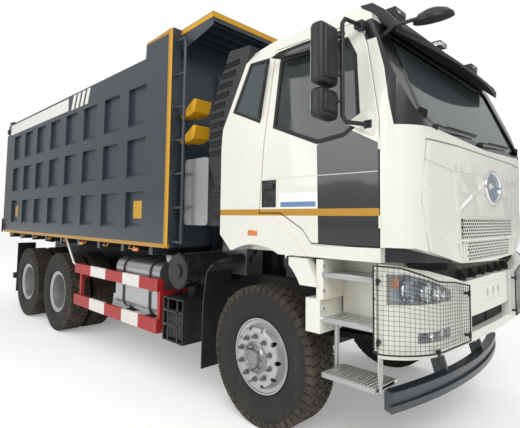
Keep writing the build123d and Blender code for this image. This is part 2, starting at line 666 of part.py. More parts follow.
DISC_THICK = 14.0
DISH_DEPTH = 60.0           # from the rim's middle to the foot of its dished disc
FRONT_DISC = -TWIN_PITCH / 2
FRONT_RIM = rim_solid(FRONT_DISC, -DISH_DEPTH - DISC_THICK)
REAR_RIM = rim_solid(TWIN_PITCH / 2 - DISC_THICK, DISH_DEPTH)
TYRE = tyre_solid()


SPINDLE_RADIUS = 45.0
AXLE_TUBE_RADIUS = 75.0
DRUM_RADIUS = 205.0
FRONT_DRUM = (FRONT_TRACK / 2 - 72, FRONT_TRACK / 2 + 58)
FRONT_HUB_END = FRONT_TRACK / 2 + 235
REAR_DRUM = (REAR_TRACK / 2 - 225, REAR_TRACK / 2 - 45)
REAR_HUB_END = REAR_TRACK / 2 + 120
REAR_SPINDLE_END = REAR_TRACK / 2 + 60
SIDES = (("right", -1), ("left", 1))


def at_wheel(piece, place, y):
    """A wheel piece moved to its axle."""
    return Location((ahead(place), y, AXLE_Z)) * piece


RIMS = {("front", -1): FRONT_RIM, ("front", 1): mirror(FRONT_RIM, Plane.XZ),
        ("rear", -1): REAR_RIM, ("rear", 1): mirror(REAR_RIM, Plane.XZ)}
for word, side in SIDES:
    middle = side * FRONT_TRACK / 2
    with BuildPart() as front_tyre:
        add(at_wheel(TYRE, 0, middle))
    finish(front_tyre, f"front_tyre_{word}")
    with BuildPart() as front_rim:
        add(at_wheel(RIMS["front", side], 0, middle))
        bar_y((0, AXLE_Z), DRUM_RADIUS, (side * FRONT_DRUM[0], side * FRONT_DRUM[1]))
        bar_y((0, AXLE_Z), HUB_RADIUS, (side * FRONT_DRUM[1], side * (FRONT_HUB_END - 35)))
        bar_y((0, AXLE_Z), HUB_RADIUS - 30, (side * FRONT_DRUM[1], side * FRONT_HUB_END))
        wheel_nuts(0, middle - side * FRONT_DISC, side)
        bar_y((0, AXLE_Z), SPINDLE_RADIUS + RUNNING_GAP, (side * 900, side * (FRONT_DRUM[1] + 22)), Mode.SUBTRACT)
    finish(front_rim, f"front_rim_{word}")
    for number, place in enumerate(REAR_AXLES, start=1):
        middle = side * REAR_TRACK / 2
        with BuildPart() as twin_tyres:
            for shift in (-TWIN_PITCH / 2, TWIN_PITCH / 2):
                add(at_wheel(TYRE, place, middle + shift))
        finish(twin_tyres, f"rear_tyres_{number}_{word}")
        with BuildPart() as twin_rims:
            add(at_wheel(RIMS["rear", side], place, middle + side * TWIN_PITCH / 2))
            add(at_wheel(RIMS["rear", -side], place, middle - side * TWIN_PITCH / 2))
            bar_y((place, AXLE_Z), DRUM_RADIUS, (side * REAR_DRUM[0], side * REAR_DRUM[1]))
            bar_y((place, AXLE_Z), HUB_RADIUS + 15, (side * REAR_DRUM[1], side * (REAR_HUB_END - 45)))
            bar_y((place, AXLE_Z), HUB_RADIUS - 15, (side * REAR_DRUM[1], side * REAR_HUB_END))
            wheel_nuts(place, middle + side * DISC_THICK, side)
            bar_y((place, AXLE_Z), AXLE_TUBE_RADIUS + RUNNING_GAP, (side * 600, side * REAR_SPINDLE_END),
                  Mode.SUBTRACT)
        finish(twin_rims, f"rear_rims_{number}_{word}")

# ---------------------------------------------------------------- steering knuckles and front axle
KINGPIN_Y = FRONT_TRACK / 2 - 190
KINGPIN_RADIUS = 28.0
for word, side in SIDES:
    with BuildPart() as knuckle:
        bar_y((0, AXLE_Z), SPINDLE_RADIUS, (side * (KINGPIN_Y + 70), side * (FRONT_DRUM[1] + 17)))
        block((-60, 60), sorted((side * (KINGPIN_Y + 66), side * (KINGPIN_Y + 108))), (AXLE_Z - 150, AXLE_Z + 150))
        for z in (AXLE_Z - 150, AXLE_Z + 90):
            bar_z(0, side * KINGPIN_Y, 62, (z, z + 60))
            block((-60, 60), sorted((side * KINGPIN_Y, side * (KINGPIN_Y + 70))), (z, z + 60))
        bar_z(0, side * KINGPIN_Y, KINGPIN_RADIUS, (AXLE_Z - 150, AXLE_Z + 150))
    finish(knuckle, f"knuckle_{word}")

LEAF_THICK = 16.0
FRONT_LEAVES = 4
REAR_LEAVES = 7
with BuildPart() as front_axle:
    for side in (-1, 1):
        bar_z(0, side * KINGPIN_Y, 58, (AXLE_Z - 84, AXLE_Z + 84))
        block((-45, 45), sorted((side * 560, side * (KINGPIN_Y - 20))), (AXLE_Z - 70, AXLE_Z + 40))
        bar_z(0, side * KINGPIN_Y, KINGPIN_RADIUS + RUNNING_GAP, (AXLE_Z - 90, AXLE_Z + 90), Mode.SUBTRACT)
        # leaf pack with its axle seat and end hangers
        block((-80, 80), sorted((side * 340, side * 430)), (AXLE_Z + 20, AXLE_Z + 50))
        for leaf in range(FRONT_LEAVES):
            reach = 880 - 150 * (FRONT_LEAVES - 1 - leaf)
            low = AXLE_Z + 50 + LEAF_THICK * leaf
            plate(((-reach, low + 40), (-reach * 0.5, low + 10), (0, low), (reach * 0.5, low + 10),
                   (reach, low + 40), (reach, low + 40 + LEAF_THICK), (0, low + LEAF_THICK),
                   (-reach, low + 40 + LEAF_THICK)), sorted((side * 347, side * 423)))
        for end in (-880, 820):
            block((end, end + 60), sorted((side * 345, side * 425)), (AXLE_Z + 130, RAIL_BOTTOM - SEAT_GAP))
    block((-45, 45), (-600, 600), (AXLE_Z - 100, AXLE_Z + 20))
finish(front_axle, "front_axle")

# ---------------------------------------------------------------- rear axles and bogie
BOGIE_MIDDLE = sum(REAR_AXLES) / 2
with BuildPart() as drive_axles:
    for place in REAR_AXLES:
        bar_y((place, AXLE_Z), AXLE_TUBE_RADIUS, (-REAR_SPINDLE_END + 5, REAR_SPINDLE_END - 5))
        # banjo housing: a short drum with tapered arms
        bar_x(0, AXLE_Z, 205, (place - 120, place + 120))
        cone_y(place, (-620, 0), (90, 175))
        cone_y(place, (0, 620), (175, 90))
    bar_x(0, AXLE_Z + 60, 50, (REAR_AXLES[1], REAR_AXLES[0]))
    for y in both_sides((RAIL_OUTER + SEAT_GAP, 530)):
        # inverted leaf pack on the bogie's middle pin
        for leaf in range(REAR_LEAVES):
            reach = (BOGIE_PITCH / 2 + 30) * (1 - 0.11 * leaf)
            low = AXLE_Z + 96 + LEAF_THICK * leaf
            plate(((BOGIE_MIDDLE - reach, low), (BOGIE_MIDDLE + reach, low),
                   (BOGIE_MIDDLE + reach - 20, low + LEAF_THICK), (BOGIE_MIDDLE - reach + 20, low + LEAF_THICK)), y)
        for place in REAR_AXLES:
            block((place - 60, place + 60), y, (AXLE_Z + 40, AXLE_Z + 100))
        plate(((BOGIE_MIDDLE - 190, RAIL_BOTTOM + 60), (BOGIE_MIDDLE - 90, AXLE_Z - 70),
               (BOGIE_MIDDLE + 90, AXLE_Z - 70), (BOGIE_MIDDLE + 190, RAIL_BOTTOM + 60)), y)
    bar_y((BOGIE_MIDDLE, AXLE_Z), 55, (-560, 560))
    bar_x(0, AXLE_Z + 120, 50, (REAR_AXLES[0], -1500))
finish(drive_axles, "drive_axles")

# ---------------------------------------------------------------- power unit
with BuildPart() as engine:
    block((-450, 760), (-330, 330), (640, 1290))
    plate(((-449, 1200), (-720, 850), (-720, 640), (-449, 640)), (-230, 230))
    block((-1300, -719), (-200, 200), (600, 850))
    block((860, 940), (-335, 335), (560, 1300))
    for y in both_sides((329, RAIL_OUTER - RAIL_WALL - SEAT_GAP)):
        block((-330, -250), y, (930, 980))
        block((870, 930), y, (930, 980))
finish(engine, "engine")

# ---------------------------------------------------------------- bumper, lamps and guards
BUMPER_BACK = 1130.0
BUMPER_THICK = 60.0
LAMP_SINK = 5.0             # lamp covers lie this far behind the bumper's face
BUMPER_Z = (825.0, 1420.0)
BUMPER_TOP = ((0, 1262), (560, 1250), (775, 1303), (900, 1335), (1025, 1378), (1155, 1405), (1400, 1405))
BUMPER_SLOT = (890.0, 1000.0)
LAMP_AHEAD = 1180.0         # where the headlamp ends on the bumper's side
LAMP_BAND = ((757, 1152), (1400, 1152), (1400, 1348), (1155, 1338), (1026, 1303), (897, 1264), (757, 1212))
FOG_Y = (780.0, 1095.0)
FOG_Z = (918.0, 982.0)
UNDERRUN_Z = (430.0, 560.0)
UNDERRUN_HALF = 1060.0


def bumper_band(near, far, z, mode=Mode.ADD):
    """A wall that follows the bumper's curve in plan, between two distances out from its face."""
    with BuildSketch(Plane.XY.offset(z[0])) as band:
        for reach, drawn in ((far, Mode.ADD), (near, Mode.SUBTRACT)):
            with BuildLine():
                side = CAB_HALF - 5 + reach
                Polyline((ahead(BUMPER_BACK - 200), side), (ahead(1170), side))
                ThreePointArc((ahead(1170), side), (ahead(1322) + reach * 0.7, 1090 + reach * 0.7),
                              (ahead(1385) + reach, 860))
                ThreePointArc((ahead(1385) + reach, 860), (ahead(1425) + reach, 0), (ahead(1385) + reach, -860))
                ThreePointArc((ahead(1385) + reach, -860), (ahead(1322) + reach * 0.7, -1090 - reach * 0.7),
                              (ahead(1170), -side))
                Polyline((ahead(1170), -side), (ahead(BUMPER_BACK - 200), -side), (ahead(BUMPER_BACK - 200), side))
            make_face(mode=drawn)
        with Locations((ahead(BUMPER_BACK - 500), 0)):
            Rectangle(1000, 3000, mode=Mode.SUBTRACT)
    extrude(band.sketch, amount=z[1] - z[0], mode=mode)


def inside_tilt(radius):
    """Keeps only what lies within a radius of the cab's tilt axis."""
    bar_y((CAB_PIVOT_AHEAD, CAB_PIVOT_Z), radius, (-1400, 1400), Mode.INTERSECT)


with BuildPart() as bumper:
    bumper_band(-BUMPER_THICK, 0, BUMPER_Z)
    inside_tilt(BUMPER_REACH)
    # the top edge dips from the corners to the middle
    for side in (-1, 1):
        over = [(side * y, z) for y, z in BUMPER_TOP] + [(side * 1400, 1600), (0, 1600)]
        front_prism(over, (BUMPER_BACK - 210, 1600), 0, Mode.SUBTRACT)
    block((1200, 1500), (-450, 450), BUMPER_SLOT, Mode.SUBTRACT)
    with BuildSketch(Plane.YZ.offset(ahead(1300))) as holes:
        with Locations((-130, 1130), (0, 1130), (130, 1130)):
            Ellipse(24, 32)
    extrude(holes.sketch, amount=200, mode=Mode.SUBTRACT)
    for y in both_sides((RAIL_OUTER - RAIL_FLANGE, RAIL_OUTER)):
        block((RAIL_FRONT + SEAT_GAP, 1360), y, (BUMPER_SLOT[1] + 5, 1068))
    for side in (-1, 1):
        front_prism([(side * y, z) for y, z in LAMP_BAND], (LAMP_AHEAD, 1600), 0, Mode.SUBTRACT)
    for y in both_sides(FOG_Y):
        block((1200, 1500), y, FOG_Z, Mode.SUBTRACT)
finish(bumper, "bumper")

with BuildPart() as lamps:
    for side in (-1, 1):
        front_prism([(side * y, z) for y, z in LAMP_BAND], (LAMP_AHEAD + SEAT_GAP, 1600), SEAT_GAP)
    for y in both_sides((FOG_Y[0] + SEAT_GAP, FOG_Y[1] - SEAT_GAP)):
        block((1200, 1500), y, (FOG_Z[0] + SEAT_GAP, FOG_Z[1] - SEAT_GAP))
    bumper_band(-BUMPER_THICK - 15, -LAMP_SINK, (700, 1500), Mode.INTERSECT)
    inside_tilt(BUMPER_REACH)
finish(lamps, "lamps")

with BuildPart() as front_guards:
    # bowed underrun bar on two brackets
    with BuildSketch(Plane.XY.offset(UNDERRUN_Z[0])) as bow:
        with BuildLine():
            ThreePointArc((ahead(1120), UNDERRUN_HALF), (ahead(1262), 0), (ahead(1120), -UNDERRUN_HALF))
            Line((ahead(1120), -UNDERRUN_HALF), (ahead(1050), -UNDERRUN_HALF + 30))
            ThreePointArc((ahead(1050), -UNDERRUN_HALF + 30), (ahead(1185), 0), (ahead(1050), UNDERRUN_HALF - 30))
            Line((ahead(1050), UNDERRUN_HALF - 30), (ahead(1120), UNDERRUN_HALF))
        make_face()
    extrude(bow.sketch, amount=UNDERRUN_Z[1] - UNDERRUN_Z[0])
    with BuildSketch(Plane.XY.offset(UNDERRUN_Z[0] + 45)) as channel:
        with BuildLine():
            ThreePointArc((ahead(1125), UNDERRUN_HALF + 10), (ahead(1267), 0), (ahead(1125), -UNDERRUN_HALF - 10))
            Line((ahead(1125), -UNDERRUN_HALF - 10), (ahead(1100), -UNDERRUN_HALF - 10))
            ThreePointArc((ahead(1100), -UNDERRUN_HALF - 10), (ahead(1242), 0), (ahead(1100), UNDERRUN_HALF + 10))
            Line((ahead(1100), UNDERRUN_HALF + 10), (ahead(1125), UNDERRUN_HALF + 10))
        make_face()
    extrude(channel.sketch, amount=UNDERRUN_Z[1] - UNDERRUN_Z[0] - 90, mode=Mode.SUBTRACT)
    for y in both_sides((RAIL_OUTER - 60, RAIL_OUTER - 30)):
        plate(((1040, RAIL_BOTTOM - SEAT_GAP), (1148, RAIL_BOTTOM - SEAT_GAP), (1215, UNDERRUN_Z[1] - 1),
               (1215, UNDERRUN_Z[0] + 20), (1140, UNDERRUN_Z[0] + 20)), y)
        plate(((1082, RAIL_BOTTOM - 32), (1136, RAIL_BOTTOM - 32), (1170, 650)), y, Mode.SUBTRACT)
        plate(((1090, RAIL_BOTTOM - 70), (1165, 618), (1165, 585)), y, Mode.SUBTRACT)
finish(front_guards, "front_guards")

# ---------------------------------------------------------------- steps
STEP_Y = (960.0, 1230.0)
STEP_AHEAD = (690.0, 1110.0)
STEP_Z = (625.0, 997.0, 1302.0)     # tread heights, lowest first
ARCH_LEG = (1200.0, 1392.0)         # heights of the arch lip's front leg, carried with the steps
with BuildPart() as entry_steps:
    for y in both_sides(STEP_Y):
        block((545, 672), y, (880, 1116))
        block((670, STEP_AHEAD[1]), y, (STEP_Z[1] - 15, STEP_Z[1]))
        block(STEP_AHEAD, y, (STEP_Z[2] - 15, STEP_Z[2]))
        block(STEP_AHEAD, y, (STEP_Z[0] - 18, STEP_Z[0]))
        # risers behind the treads, and the cheeks
        for low, high in ((STEP_Z[1] - 1, STEP_Z[2] - 14), (ARCH_LEG[1] - 92, ARCH_LEG[1])):
            block(STEP_AHEAD, sorted((math.copysign(STEP_Y[0], y[0]), math.copysign(STEP_Y[0] + 14, y[0]))),
                  (low, high))
        block((STEP_AHEAD[1] - 15, STEP_AHEAD[1]), y, (860, ARCH_LEG[1]))
        block((640, 700), y, (1115, ARCH_LEG[1]))
        # hangers of the lowest step
        for place in (STEP_AHEAD[0] + 20, STEP_AHEAD[1] - 60):
            block((place, place + 22), sorted((y[0] + 120, y[0] + 150)), (STEP_Z[0] - 1, STEP_Z[1] - 14))
        # slots that make each tread a grating
        for tread in STEP_Z:
            for slot in range(5):
                place = STEP_AHEAD[0] + 45 + 62 * slot
                block((place, place + 34), sorted((y[0] + 60, y[0] + 205)), (tread - 30, tread + 30), Mode.SUBTRACT)
    for y in both_sides((CAB_HALF - 60, CAB_HALF + ARCH_LIP)):
        arch_ring(ARCH_LEG, (400, 700), y)
    for y in both_sides((RAIL_OUTER + SEAT_GAP, 980)):
        block((600, 660), y, (900, 960))
finish(entry_steps, "entry_steps")

# ---------------------------------------------------------------- beside the frame
TANK_FRONT = -1500.0
TANK_REAR = -2480.0
TANK_Y = (-1165.0, -520.0)
TANK_Z = (600.0, 1190.0)
STRAP_PLACES = (-1710.0, -2300.0)
with BuildPart() as fuel_tank:
    block((TANK_REAR, TANK_FRONT), TANK_Y, TANK_Z)
    fillet(fuel_tank.edges().filter_by(Axis.X), 120)
    with BuildSketch(Plane.YZ.offset(ahead(STRAP_PLACES[0]))) as strap:
        with Locations((sum(TANK_Y) / 2, sum(TANK_Z) / 2)):
            RectangleRounded(TANK_Y[1] - TANK_Y[0] + 8, TANK_Z[1] - TANK_Z[0] - 2, 122)
    for place in STRAP_PLACES:
        shifted = Location((place - STRAP_PLACES[0], 0, 0)) * strap.sketch
        extrude(shifted, amount=60)
    bar_z(-1600, sum(TANK_Y) / 2 - 120, 55, (TANK_Z[1] - 10, TANK_Z[1] + 40))
finish(fuel_tank, "fuel_tank")

FILTER_PLACE = (-1150.0, 1135.0)
BOX_AHEAD = (-1310.0, -960.0)
BOX_Y = (-1235.0, -860.0)
BOX_Z = (455.0, 880.0)
BOX_WALL = 14.0
with BuildPart() as air_filter:
    bar_y(FILTER_PLACE, 165, (-1180, -620))
    for y in (-1170, -1010, -800):
        bar_y(FILTER_PLACE, 176, (y, y + 22))
    bar_y(FILTER_PLACE, 70, (-1195, -1180))
    # battery box, open at its outer side
    block(BOX_AHEAD, BOX_Y, BOX_Z)
    block((BOX_AHEAD[0] + BOX_WALL, BOX_AHEAD[1] - BOX_WALL), (BOX_Y[0] - 1, BOX_Y[1] - BOX_WALL),
          (BOX_Z[0] + BOX_WALL, BOX_Z[1] - BOX_WALL), Mode.SUBTRACT)
    block((-1200, -1090), (-1010, -880), (BOX_Z[1] - 1, 985))
    block((-1230, -1070), (-650, -RAIL_OUTER - SEAT_GAP), (990, 1060))
finish(air_filter, "air_filter")

OIL_AHEAD = (-1150.0, -760.0)
OIL_Y = (-1120.0, -470.0)
OIL_Z = (1600.0, 2265.0)
with BuildPart() as oil_tank:
    block(OIL_AHEAD, OIL_Y, OIL_Z)
    fillet(oil_tank.edges().filter_by(Axis.Y), 45)
    for y in (-960, -620):
        block((OIL_AHEAD[0] - 4, OIL_AHEAD[1] + 4), (y, y + 50), (OIL_Z[0] + 46, OIL_Z[1] - 46))
    bar_z(-955, -800, 60, (OIL_Z[1] - 5, OIL_Z[1] + 45))
    block(OIL_AHEAD, (-600, -RAIL_OUTER + 60), (RAIL_TOP + SEAT_GAP, OIL_Z[0] + 1))
finish(oil_tank, "oil_tank")

GUARD_AHEAD = (REAR_AXLES[0] + 650, -1420.0)
GUARD_Y = (1205.0, CAB_HALF)
GUARD_RAILS = ((480.0, 620.0), (905.0, 1030.0))
with BuildPart() as side_guards:
    for y in both_sides(GUARD_Y):
        for low, high in GUARD_RAILS:
            block(GUARD_AHEAD, y, (low, high))
    for place in (GUARD_AHEAD[0] + 100, GUARD_AHEAD[1] - 50):
        for y in both_sides((1165, GUARD_Y[0] + 1)):
            block((place, place + 50), y, (480, 1030))
        for y in both_sides((RAIL_OUTER + SEAT_GAP, 1171)):
            block((place, place + 50), y, (RAIL_BOTTOM + 60, RAIL_BOTTOM + 120))
finish(side_guards, "side_guards")

FLAP_PLACE = REAR_AXLES[1] - 735
with BuildPart() as mudguards:
    for y in both_sides((900, 1200)):
        plate(((-560, 1250), (-640, 1180), (-690, 900), (-700, 300), (-712, 300), (-702, 905), (-652, 1188),
               (-566, 1262)), y)
        block((FLAP_PLACE - 5, FLAP_PLACE + 5), y, (310, 1180))
    for y in both_sides((RAIL_OUTER + SEAT_GAP, 901)):
        block((-712, -672), y, (905, 945))
        block((FLAP_PLACE - 25, FLAP_PLACE - 4), y, (980, 1040))
finish(mudguards, "mudguards")

with BuildPart() as muffler:
    bar_x(820, 860, 280, (-2500, -1600))
    for place in (-2480, -2060, -1650):
        bar_x(820, 860, 288, (place, place + 25))
    bar_x(700, 860, 55, (-1600, -1490))
    block((-3300, -2650), (560, 1180), (560, 1040))
    block((-2090, -2030), (RAIL_OUTER + SEAT_GAP, 600), (830, 890))
    block((-3000, -2940), (RAIL_OUTER + SEAT_GAP, 561), (830, 890))
finish(muffler, "muffler")

# ---------------------------------------------------------------- load body
GATE_TOP = 3300.0
GATE_HINGE_BACK = -55.0
GATE_HINGE_Z = 3340.0
GATE_PIN_RADIUS = 20.0
GATE_EAR_Y = (1182.0, 1222.0)
GATE_COLUMNS = 4
GATE_PANEL = 430.0
GATE_ROWS = ((1480.0, 2000.0), (2120.0, 2620.0), (2740.0, 3220.0))
BODY_FRONT = -BODY_SETBACK
LADDER_SEAT = BODY_FRONT + 40 + SEAT_GAP
CHOCK_SEAT = BODY_FRONT + SEAT_GAP
HOIST_EAR_GAP = 66.0
RECESS_HALF = 150.0
RECESS_TOP = 2130.0
RECESS = ((BODY_FRONT, BODY_BOTTOM), (BODY_FRONT, RECESS_TOP), (-1610, 1290), (-1610, BODY_BOTTOM - 90),
          (BODY_FRONT, BODY_BOTTOM - 90))
BODY_REAR = BODY_FRONT - BODY_LENGTH
GATE_HINGE = BODY_REAR + GATE_HINGE_BACK
CANOPY_RIBS = (-820.0, -960.0, -1100.0, -1240.0)


def bay_cut(middle, side, low, high):
    """One bay of the ribbed side: an upright recess with a shelf that sheds dirt."""
    outer, inner = side * (BODY_HALF + 1), side * (BODY_HALF - BODY_PLATE)
    section_x(((outer, low - BAY_SHELF), (inner, low), (inner, high), (outer, high)),
              (middle - BAY_WIDTH / 2, middle + BAY_WIDTH / 2), Mode.SUBTRACT)


with BuildPart() as load_body:
    block((BODY_REAR, BODY_FRONT), (-BODY_HALF, BODY_HALF), (BODY_BOTTOM, BODY_TOP))
    block((BODY_REAR - 1, BODY_FRONT - HEADBOARD_THICK), (-BODY_HALF + BODY_WALL, BODY_HALF - BODY_WALL),
          (BODY_BOTTOM + FLOOR_THICK, BODY_TOP + 1), Mode.SUBTRACT)
    for y in both_sides((BODY_HALF - BODY_PLATE, BODY_HALF + 10)):
        for bay in range(BAY_COUNT):
            middle = BAY_FIRST - bay * BAY_PITCH
            for low, high in BAY_ROWS:
                bay_cut(middle, math.copysign(1, y[0]), low, high)
    block((BODY_FRONT - 40, BODY_FRONT), (-BODY_HALF, BODY_HALF), (BODY_TOP, CORNER_TOP))
    for y in both_sides((BODY_HALF - BODY_WALL, BODY_HALF)):
        plate(((BODY_FRONT, BODY_TOP), (BODY_FRONT, CORNER_TOP), (-1790, CORNER_TOP - 30), (-1800, BODY_TOP)), y)
    for y in both_sides((CANOPY_HALF - CANOPY_PLATE, CANOPY_HALF)):
        plate(((BODY_FRONT, 3430), (BODY_FRONT, CORNER_TOP), (CANOPY_TIP, 3710), (CANOPY_TIP, 3570)), y)
    plate(((BODY_FRONT, CORNER_TOP - CANOPY_PLATE), (BODY_FRONT, CORNER_TOP), (CANOPY_TIP, 3710),
           (CANOPY_TIP, 3610), (CANOPY_TIP - CANOPY_PLATE, 3610), (CANOPY_TIP - CANOPY_PLATE, 3698)),
          (-CANOPY_HALF, CANOPY_HALF))
    # ribs under the canopy, columns on the front wall, and cross bearers
    for place in CANOPY_RIBS:
        rise = (place - BODY_FRONT) / (CANOPY_TIP - BODY_FRONT)
        roof = CORNER_TOP - CANOPY_PLATE + (3710 - CORNER_TOP) * rise
        block((place - 18, place + 18), (-CANOPY_HALF + 1, CANOPY_HALF - 1), (roof - 60, roof + 1))
    for y in both_sides((BODY_HALF - 105, BODY_HALF - 10)):
        block((BODY_FRONT - 1, BODY_FRONT + 40), y, (BODY_BOTTOM, CORNER_TOP))
    for y in both_sides((520, 620)):
        block((BODY_FRONT - 1, BODY_FRONT + 45), y, (BODY_BOTTOM, 3300))
    for bay in range(BAY_COUNT + 1):
        place = BAY_FIRST + BAY_PITCH / 2 - bay * BAY_PITCH
        block((place - 35, place + 35), (-BODY_HALF + 40, BODY_HALF - 40), (BODY_BOTTOM - 90, BODY_BOTTOM + 1))
    block((HINGE_AHEAD - 140, HINGE_AHEAD + 140), (-490, 490), (BODY_BOTTOM - 200, BODY_BOTTOM - 0.5),
          Mode.SUBTRACT)
    for y in both_sides((RAIL_OUTER - RAIL_FLANGE, RAIL_OUTER)):
        block((HINGE_AHEAD + 110, BODY_FRONT - 60), y, (SUBFRAME_TOP + SEAT_GAP, BODY_BOTTOM))
    for y in both_sides((500, 560)):
        plate(((HINGE_AHEAD - 75, HINGE_Z - 70), (HINGE_AHEAD + 75, HINGE_Z - 70),
               (HINGE_AHEAD + 120, BODY_BOTTOM), (HINGE_AHEAD - 120, BODY_BOTTOM)), y)
    bar_y((HINGE_AHEAD, HINGE_Z), HINGE_RADIUS + RUNNING_GAP, (-700, 700), Mode.SUBTRACT)
    for y in both_sides(GATE_EAR_Y):
        block((GATE_HINGE - 35, BODY_REAR + 1), y, (GATE_TOP + 10, GATE_HINGE_Z + 40))
    bar_y((GATE_HINGE, GATE_HINGE_Z), GATE_PIN_RADIUS + RUNNING_GAP, (-1300, 1300), Mode.SUBTRACT)
    # ears for the hoist's head
    for y in both_sides((HOIST_EAR_GAP, HOIST_EAR_GAP + 30)):
        plate(((BODY_FRONT, 2720), (BODY_FRONT, 2990), (HOIST_EYE_AHEAD + 70, 2830), (HOIST_EYE_AHEAD + 70, 2712)), y)
    bar_y((HOIST_EYE_AHEAD, HOIST_EYE_Z), HOIST_PIN + RUNNING_GAP, (-100, 100), Mode.SUBTRACT)
    # sloped recess that the hoist leans into as the body rises
    plate(RECESS, (-RECESS_HALF - 12, RECESS_HALF + 12))
    plate(((BODY_FRONT + 1, SUBFRAME_TOP - 1), (BODY_FRONT + 1, RECESS_TOP - 12), (-1600 + 12, BODY_BOTTOM),
           (-1600 + 12, SUBFRAME_TOP - 1)), (-RECESS_HALF, RECESS_HALF), Mode.SUBTRACT)
finish(load_body, "load_body")

with BuildPart() as tailgate:
    block((BODY_REAR - TAILGATE_GAP - TAILGATE_THICK, BODY_REAR - TAILGATE_GAP), (-1235, 1235),
          (BODY_BOTTOM + 20, GATE_TOP))
    for y in both_sides((GATE_EAR_Y[0] - 12, BODY_HALF + 10)):
        block((BODY_REAR - 120, BODY_REAR), y, (GATE_TOP - 30, GATE_TOP + 1), Mode.SUBTRACT)
    # ribbed outer face
    face = BODY_REAR - TAILGATE_GAP - TAILGATE_THICK
    for column in range(GATE_COLUMNS):
        y = -1120 + (2240 - GATE_PANEL) / (GATE_COLUMNS - 1) * column
        for low, high in GATE_ROWS:
            block((face - 1, face + 40), (y, y + GATE_PANEL), (low, high), Mode.SUBTRACT)
    for y in both_sides((GATE_EAR_Y[0] - 50, GATE_EAR_Y[0] - 13)):
        block((GATE_HINGE - 30, GATE_HINGE + 30), y, (GATE_TOP - 1, GATE_HINGE_Z + 30))
    for side in (-1, 1):
        bar_y((GATE_HINGE, GATE_HINGE_Z), GATE_PIN_RADIUS, (side * (GATE_EAR_Y[0] - 40), side * GATE_EAR_Y[1]))
finish(tailgate, "tailgate")

LADDER_AHEAD = -1090.0
LADDER_Y = -1190.0
RUNG_PITCH = 347.0
RUNG_LOW = 1427.0
with BuildPart() as ladder:
    bar_z(LADDER_AHEAD, LADDER_Y, 17, (RUNG_LOW, 3500))
    strut((LADDER_AHEAD, LADDER_Y, 3492), (LADDER_AHEAD - 42, LADDER_Y, 3534), 17)
    bar_x(LADDER_Y, 3529, 17, (LADDER_SEAT, LADDER_AHEAD - 32))
    for rung in range(6):
        bar_x(LADDER_Y, RUNG_LOW + RUNG_PITCH * rung, 15, (LADDER_SEAT, LADDER_AHEAD))
finish(ladder, "ladder")

CHOCK_Z = (2450.0, 2720.0)
with BuildPart() as chocks:
    for z in CHOCK_Z:
        # a wedge with a curved ramp, on its bracket to the front wall
        plate(((-1075, z), (-1000, z + 30), (-960, z + 150), (-1010, z + 165), (-1180, z + 60), (-1180, z)),
              (-1130, -940))
        block((CHOCK_SEAT, -1150), (-1090, -990), (z + 5, z + 45))
finish(chocks, "chocks")

# ---------------------------------------------------------------- hoist
HOIST_STAGE_LAP = 12.0
HOIST_BASE = Vector(ahead(HOIST_BASE_AHEAD), 0, HOIST_BASE_Z)
HOIST_EYE = Vector(ahead(HOIST_EYE_AHEAD), 0, HOIST_EYE_Z)
HOIST_CLOSED = (HOIST_EYE - HOIST_BASE).length
HOIST_PLANE = Plane(origin=HOIST_BASE, x_dir=(0, 1, 0), z_dir=HOIST_EYE - HOIST_BASE)


def hoist_bar(radius, low, high, mode=Mode.ADD):
    """A round bar along the hoist's own axis, between two heights above its base pin."""
    with Locations(HOIST_PLANE.offset((low + high) / 2).location):
        Cylinder(radius, high - low, mode=mode)


HOIST_TOP = HOIST_CLOSED - HOIST_HEAD
with BuildPart() as hoist_barrel:
    hoist_bar(HOIST_RADII[0], HOIST_FOOT, HOIST_TOP)
    hoist_bar(HOIST_RADII[1] + 2, HOIST_FOOT + 30, HOIST_TOP + 1, Mode.SUBTRACT)
    block((HOIST_BASE_AHEAD - 60, HOIST_BASE_AHEAD + 60), (-140, 140), (HOIST_BASE_Z - 60, HOIST_BASE_Z + 65))
    bar_y((HOIST_BASE_AHEAD, HOIST_BASE_Z), HOIST_PIN + RUNNING_GAP, (-200, 200), Mode.SUBTRACT)
finish(hoist_barrel, "hoist_barrel")

for number, radius in enumerate(HOIST_RADII[1:], start=1):
    low = HOIST_FOOT + 35 + 5 * number
    high = HOIST_TOP + HOIST_STAGE_LAP * number
    last = number == len(HOIST_RADII) - 1
    with BuildPart() as stage:
        hoist_bar(radius, low, high)
        if last:
            with Locations(HOIST_PLANE.offset((high + HOIST_CLOSED + 44) / 2).location):
                Box(100, 90, HOIST_CLOSED + 46 - high)
            bar_y((HOIST_EYE_AHEAD, HOIST_EYE_Z), HOIST_PIN, (-HOIST_EAR_GAP + SEAT_GAP, HOIST_EAR_GAP - SEAT_GAP))
        else:
            hoist_bar(HOIST_RADII[number + 1] + 2, low + 4, high + 1, Mode.SUBTRACT)
    finish(stage, "hoist_rod" if last else f"hoist_stage_{number}")

# ---------------------------------------------------------------- towing jaw
TOW_PIN_RADIUS = 25.0
TOW_JAW_REACH = 130.0
with BuildPart() as tow_jaw:
    block((RAIL_REAR - 20 - SEAT_GAP, RAIL_REAR - SEAT_GAP), (-110, 110), (850, 1010))
    for z in ((880, 905), (955, 980)):
        block((RAIL_REAR - 20 - TOW_JAW_REACH, RAIL_REAR - 20), (-60, 60), z)
    bar_z(RAIL_REAR - 20 - TOW_JAW_REACH + 45, 0, TOW_PIN_RADIUS, (800, 1050), Mode.SUBTRACT)
finish(tow_jaw, "tow_jaw")
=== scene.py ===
"""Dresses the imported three-axle dump truck: finishes, wheels, lamps, grilles and cab fittings.

Metres, +X forward, +Y to the left, +Z up, in the frame's own coordinates. Places along the truck
are given as distances ahead of the front axle. Each new piece rides on one of the frame's bodies.
"""
import json
import math

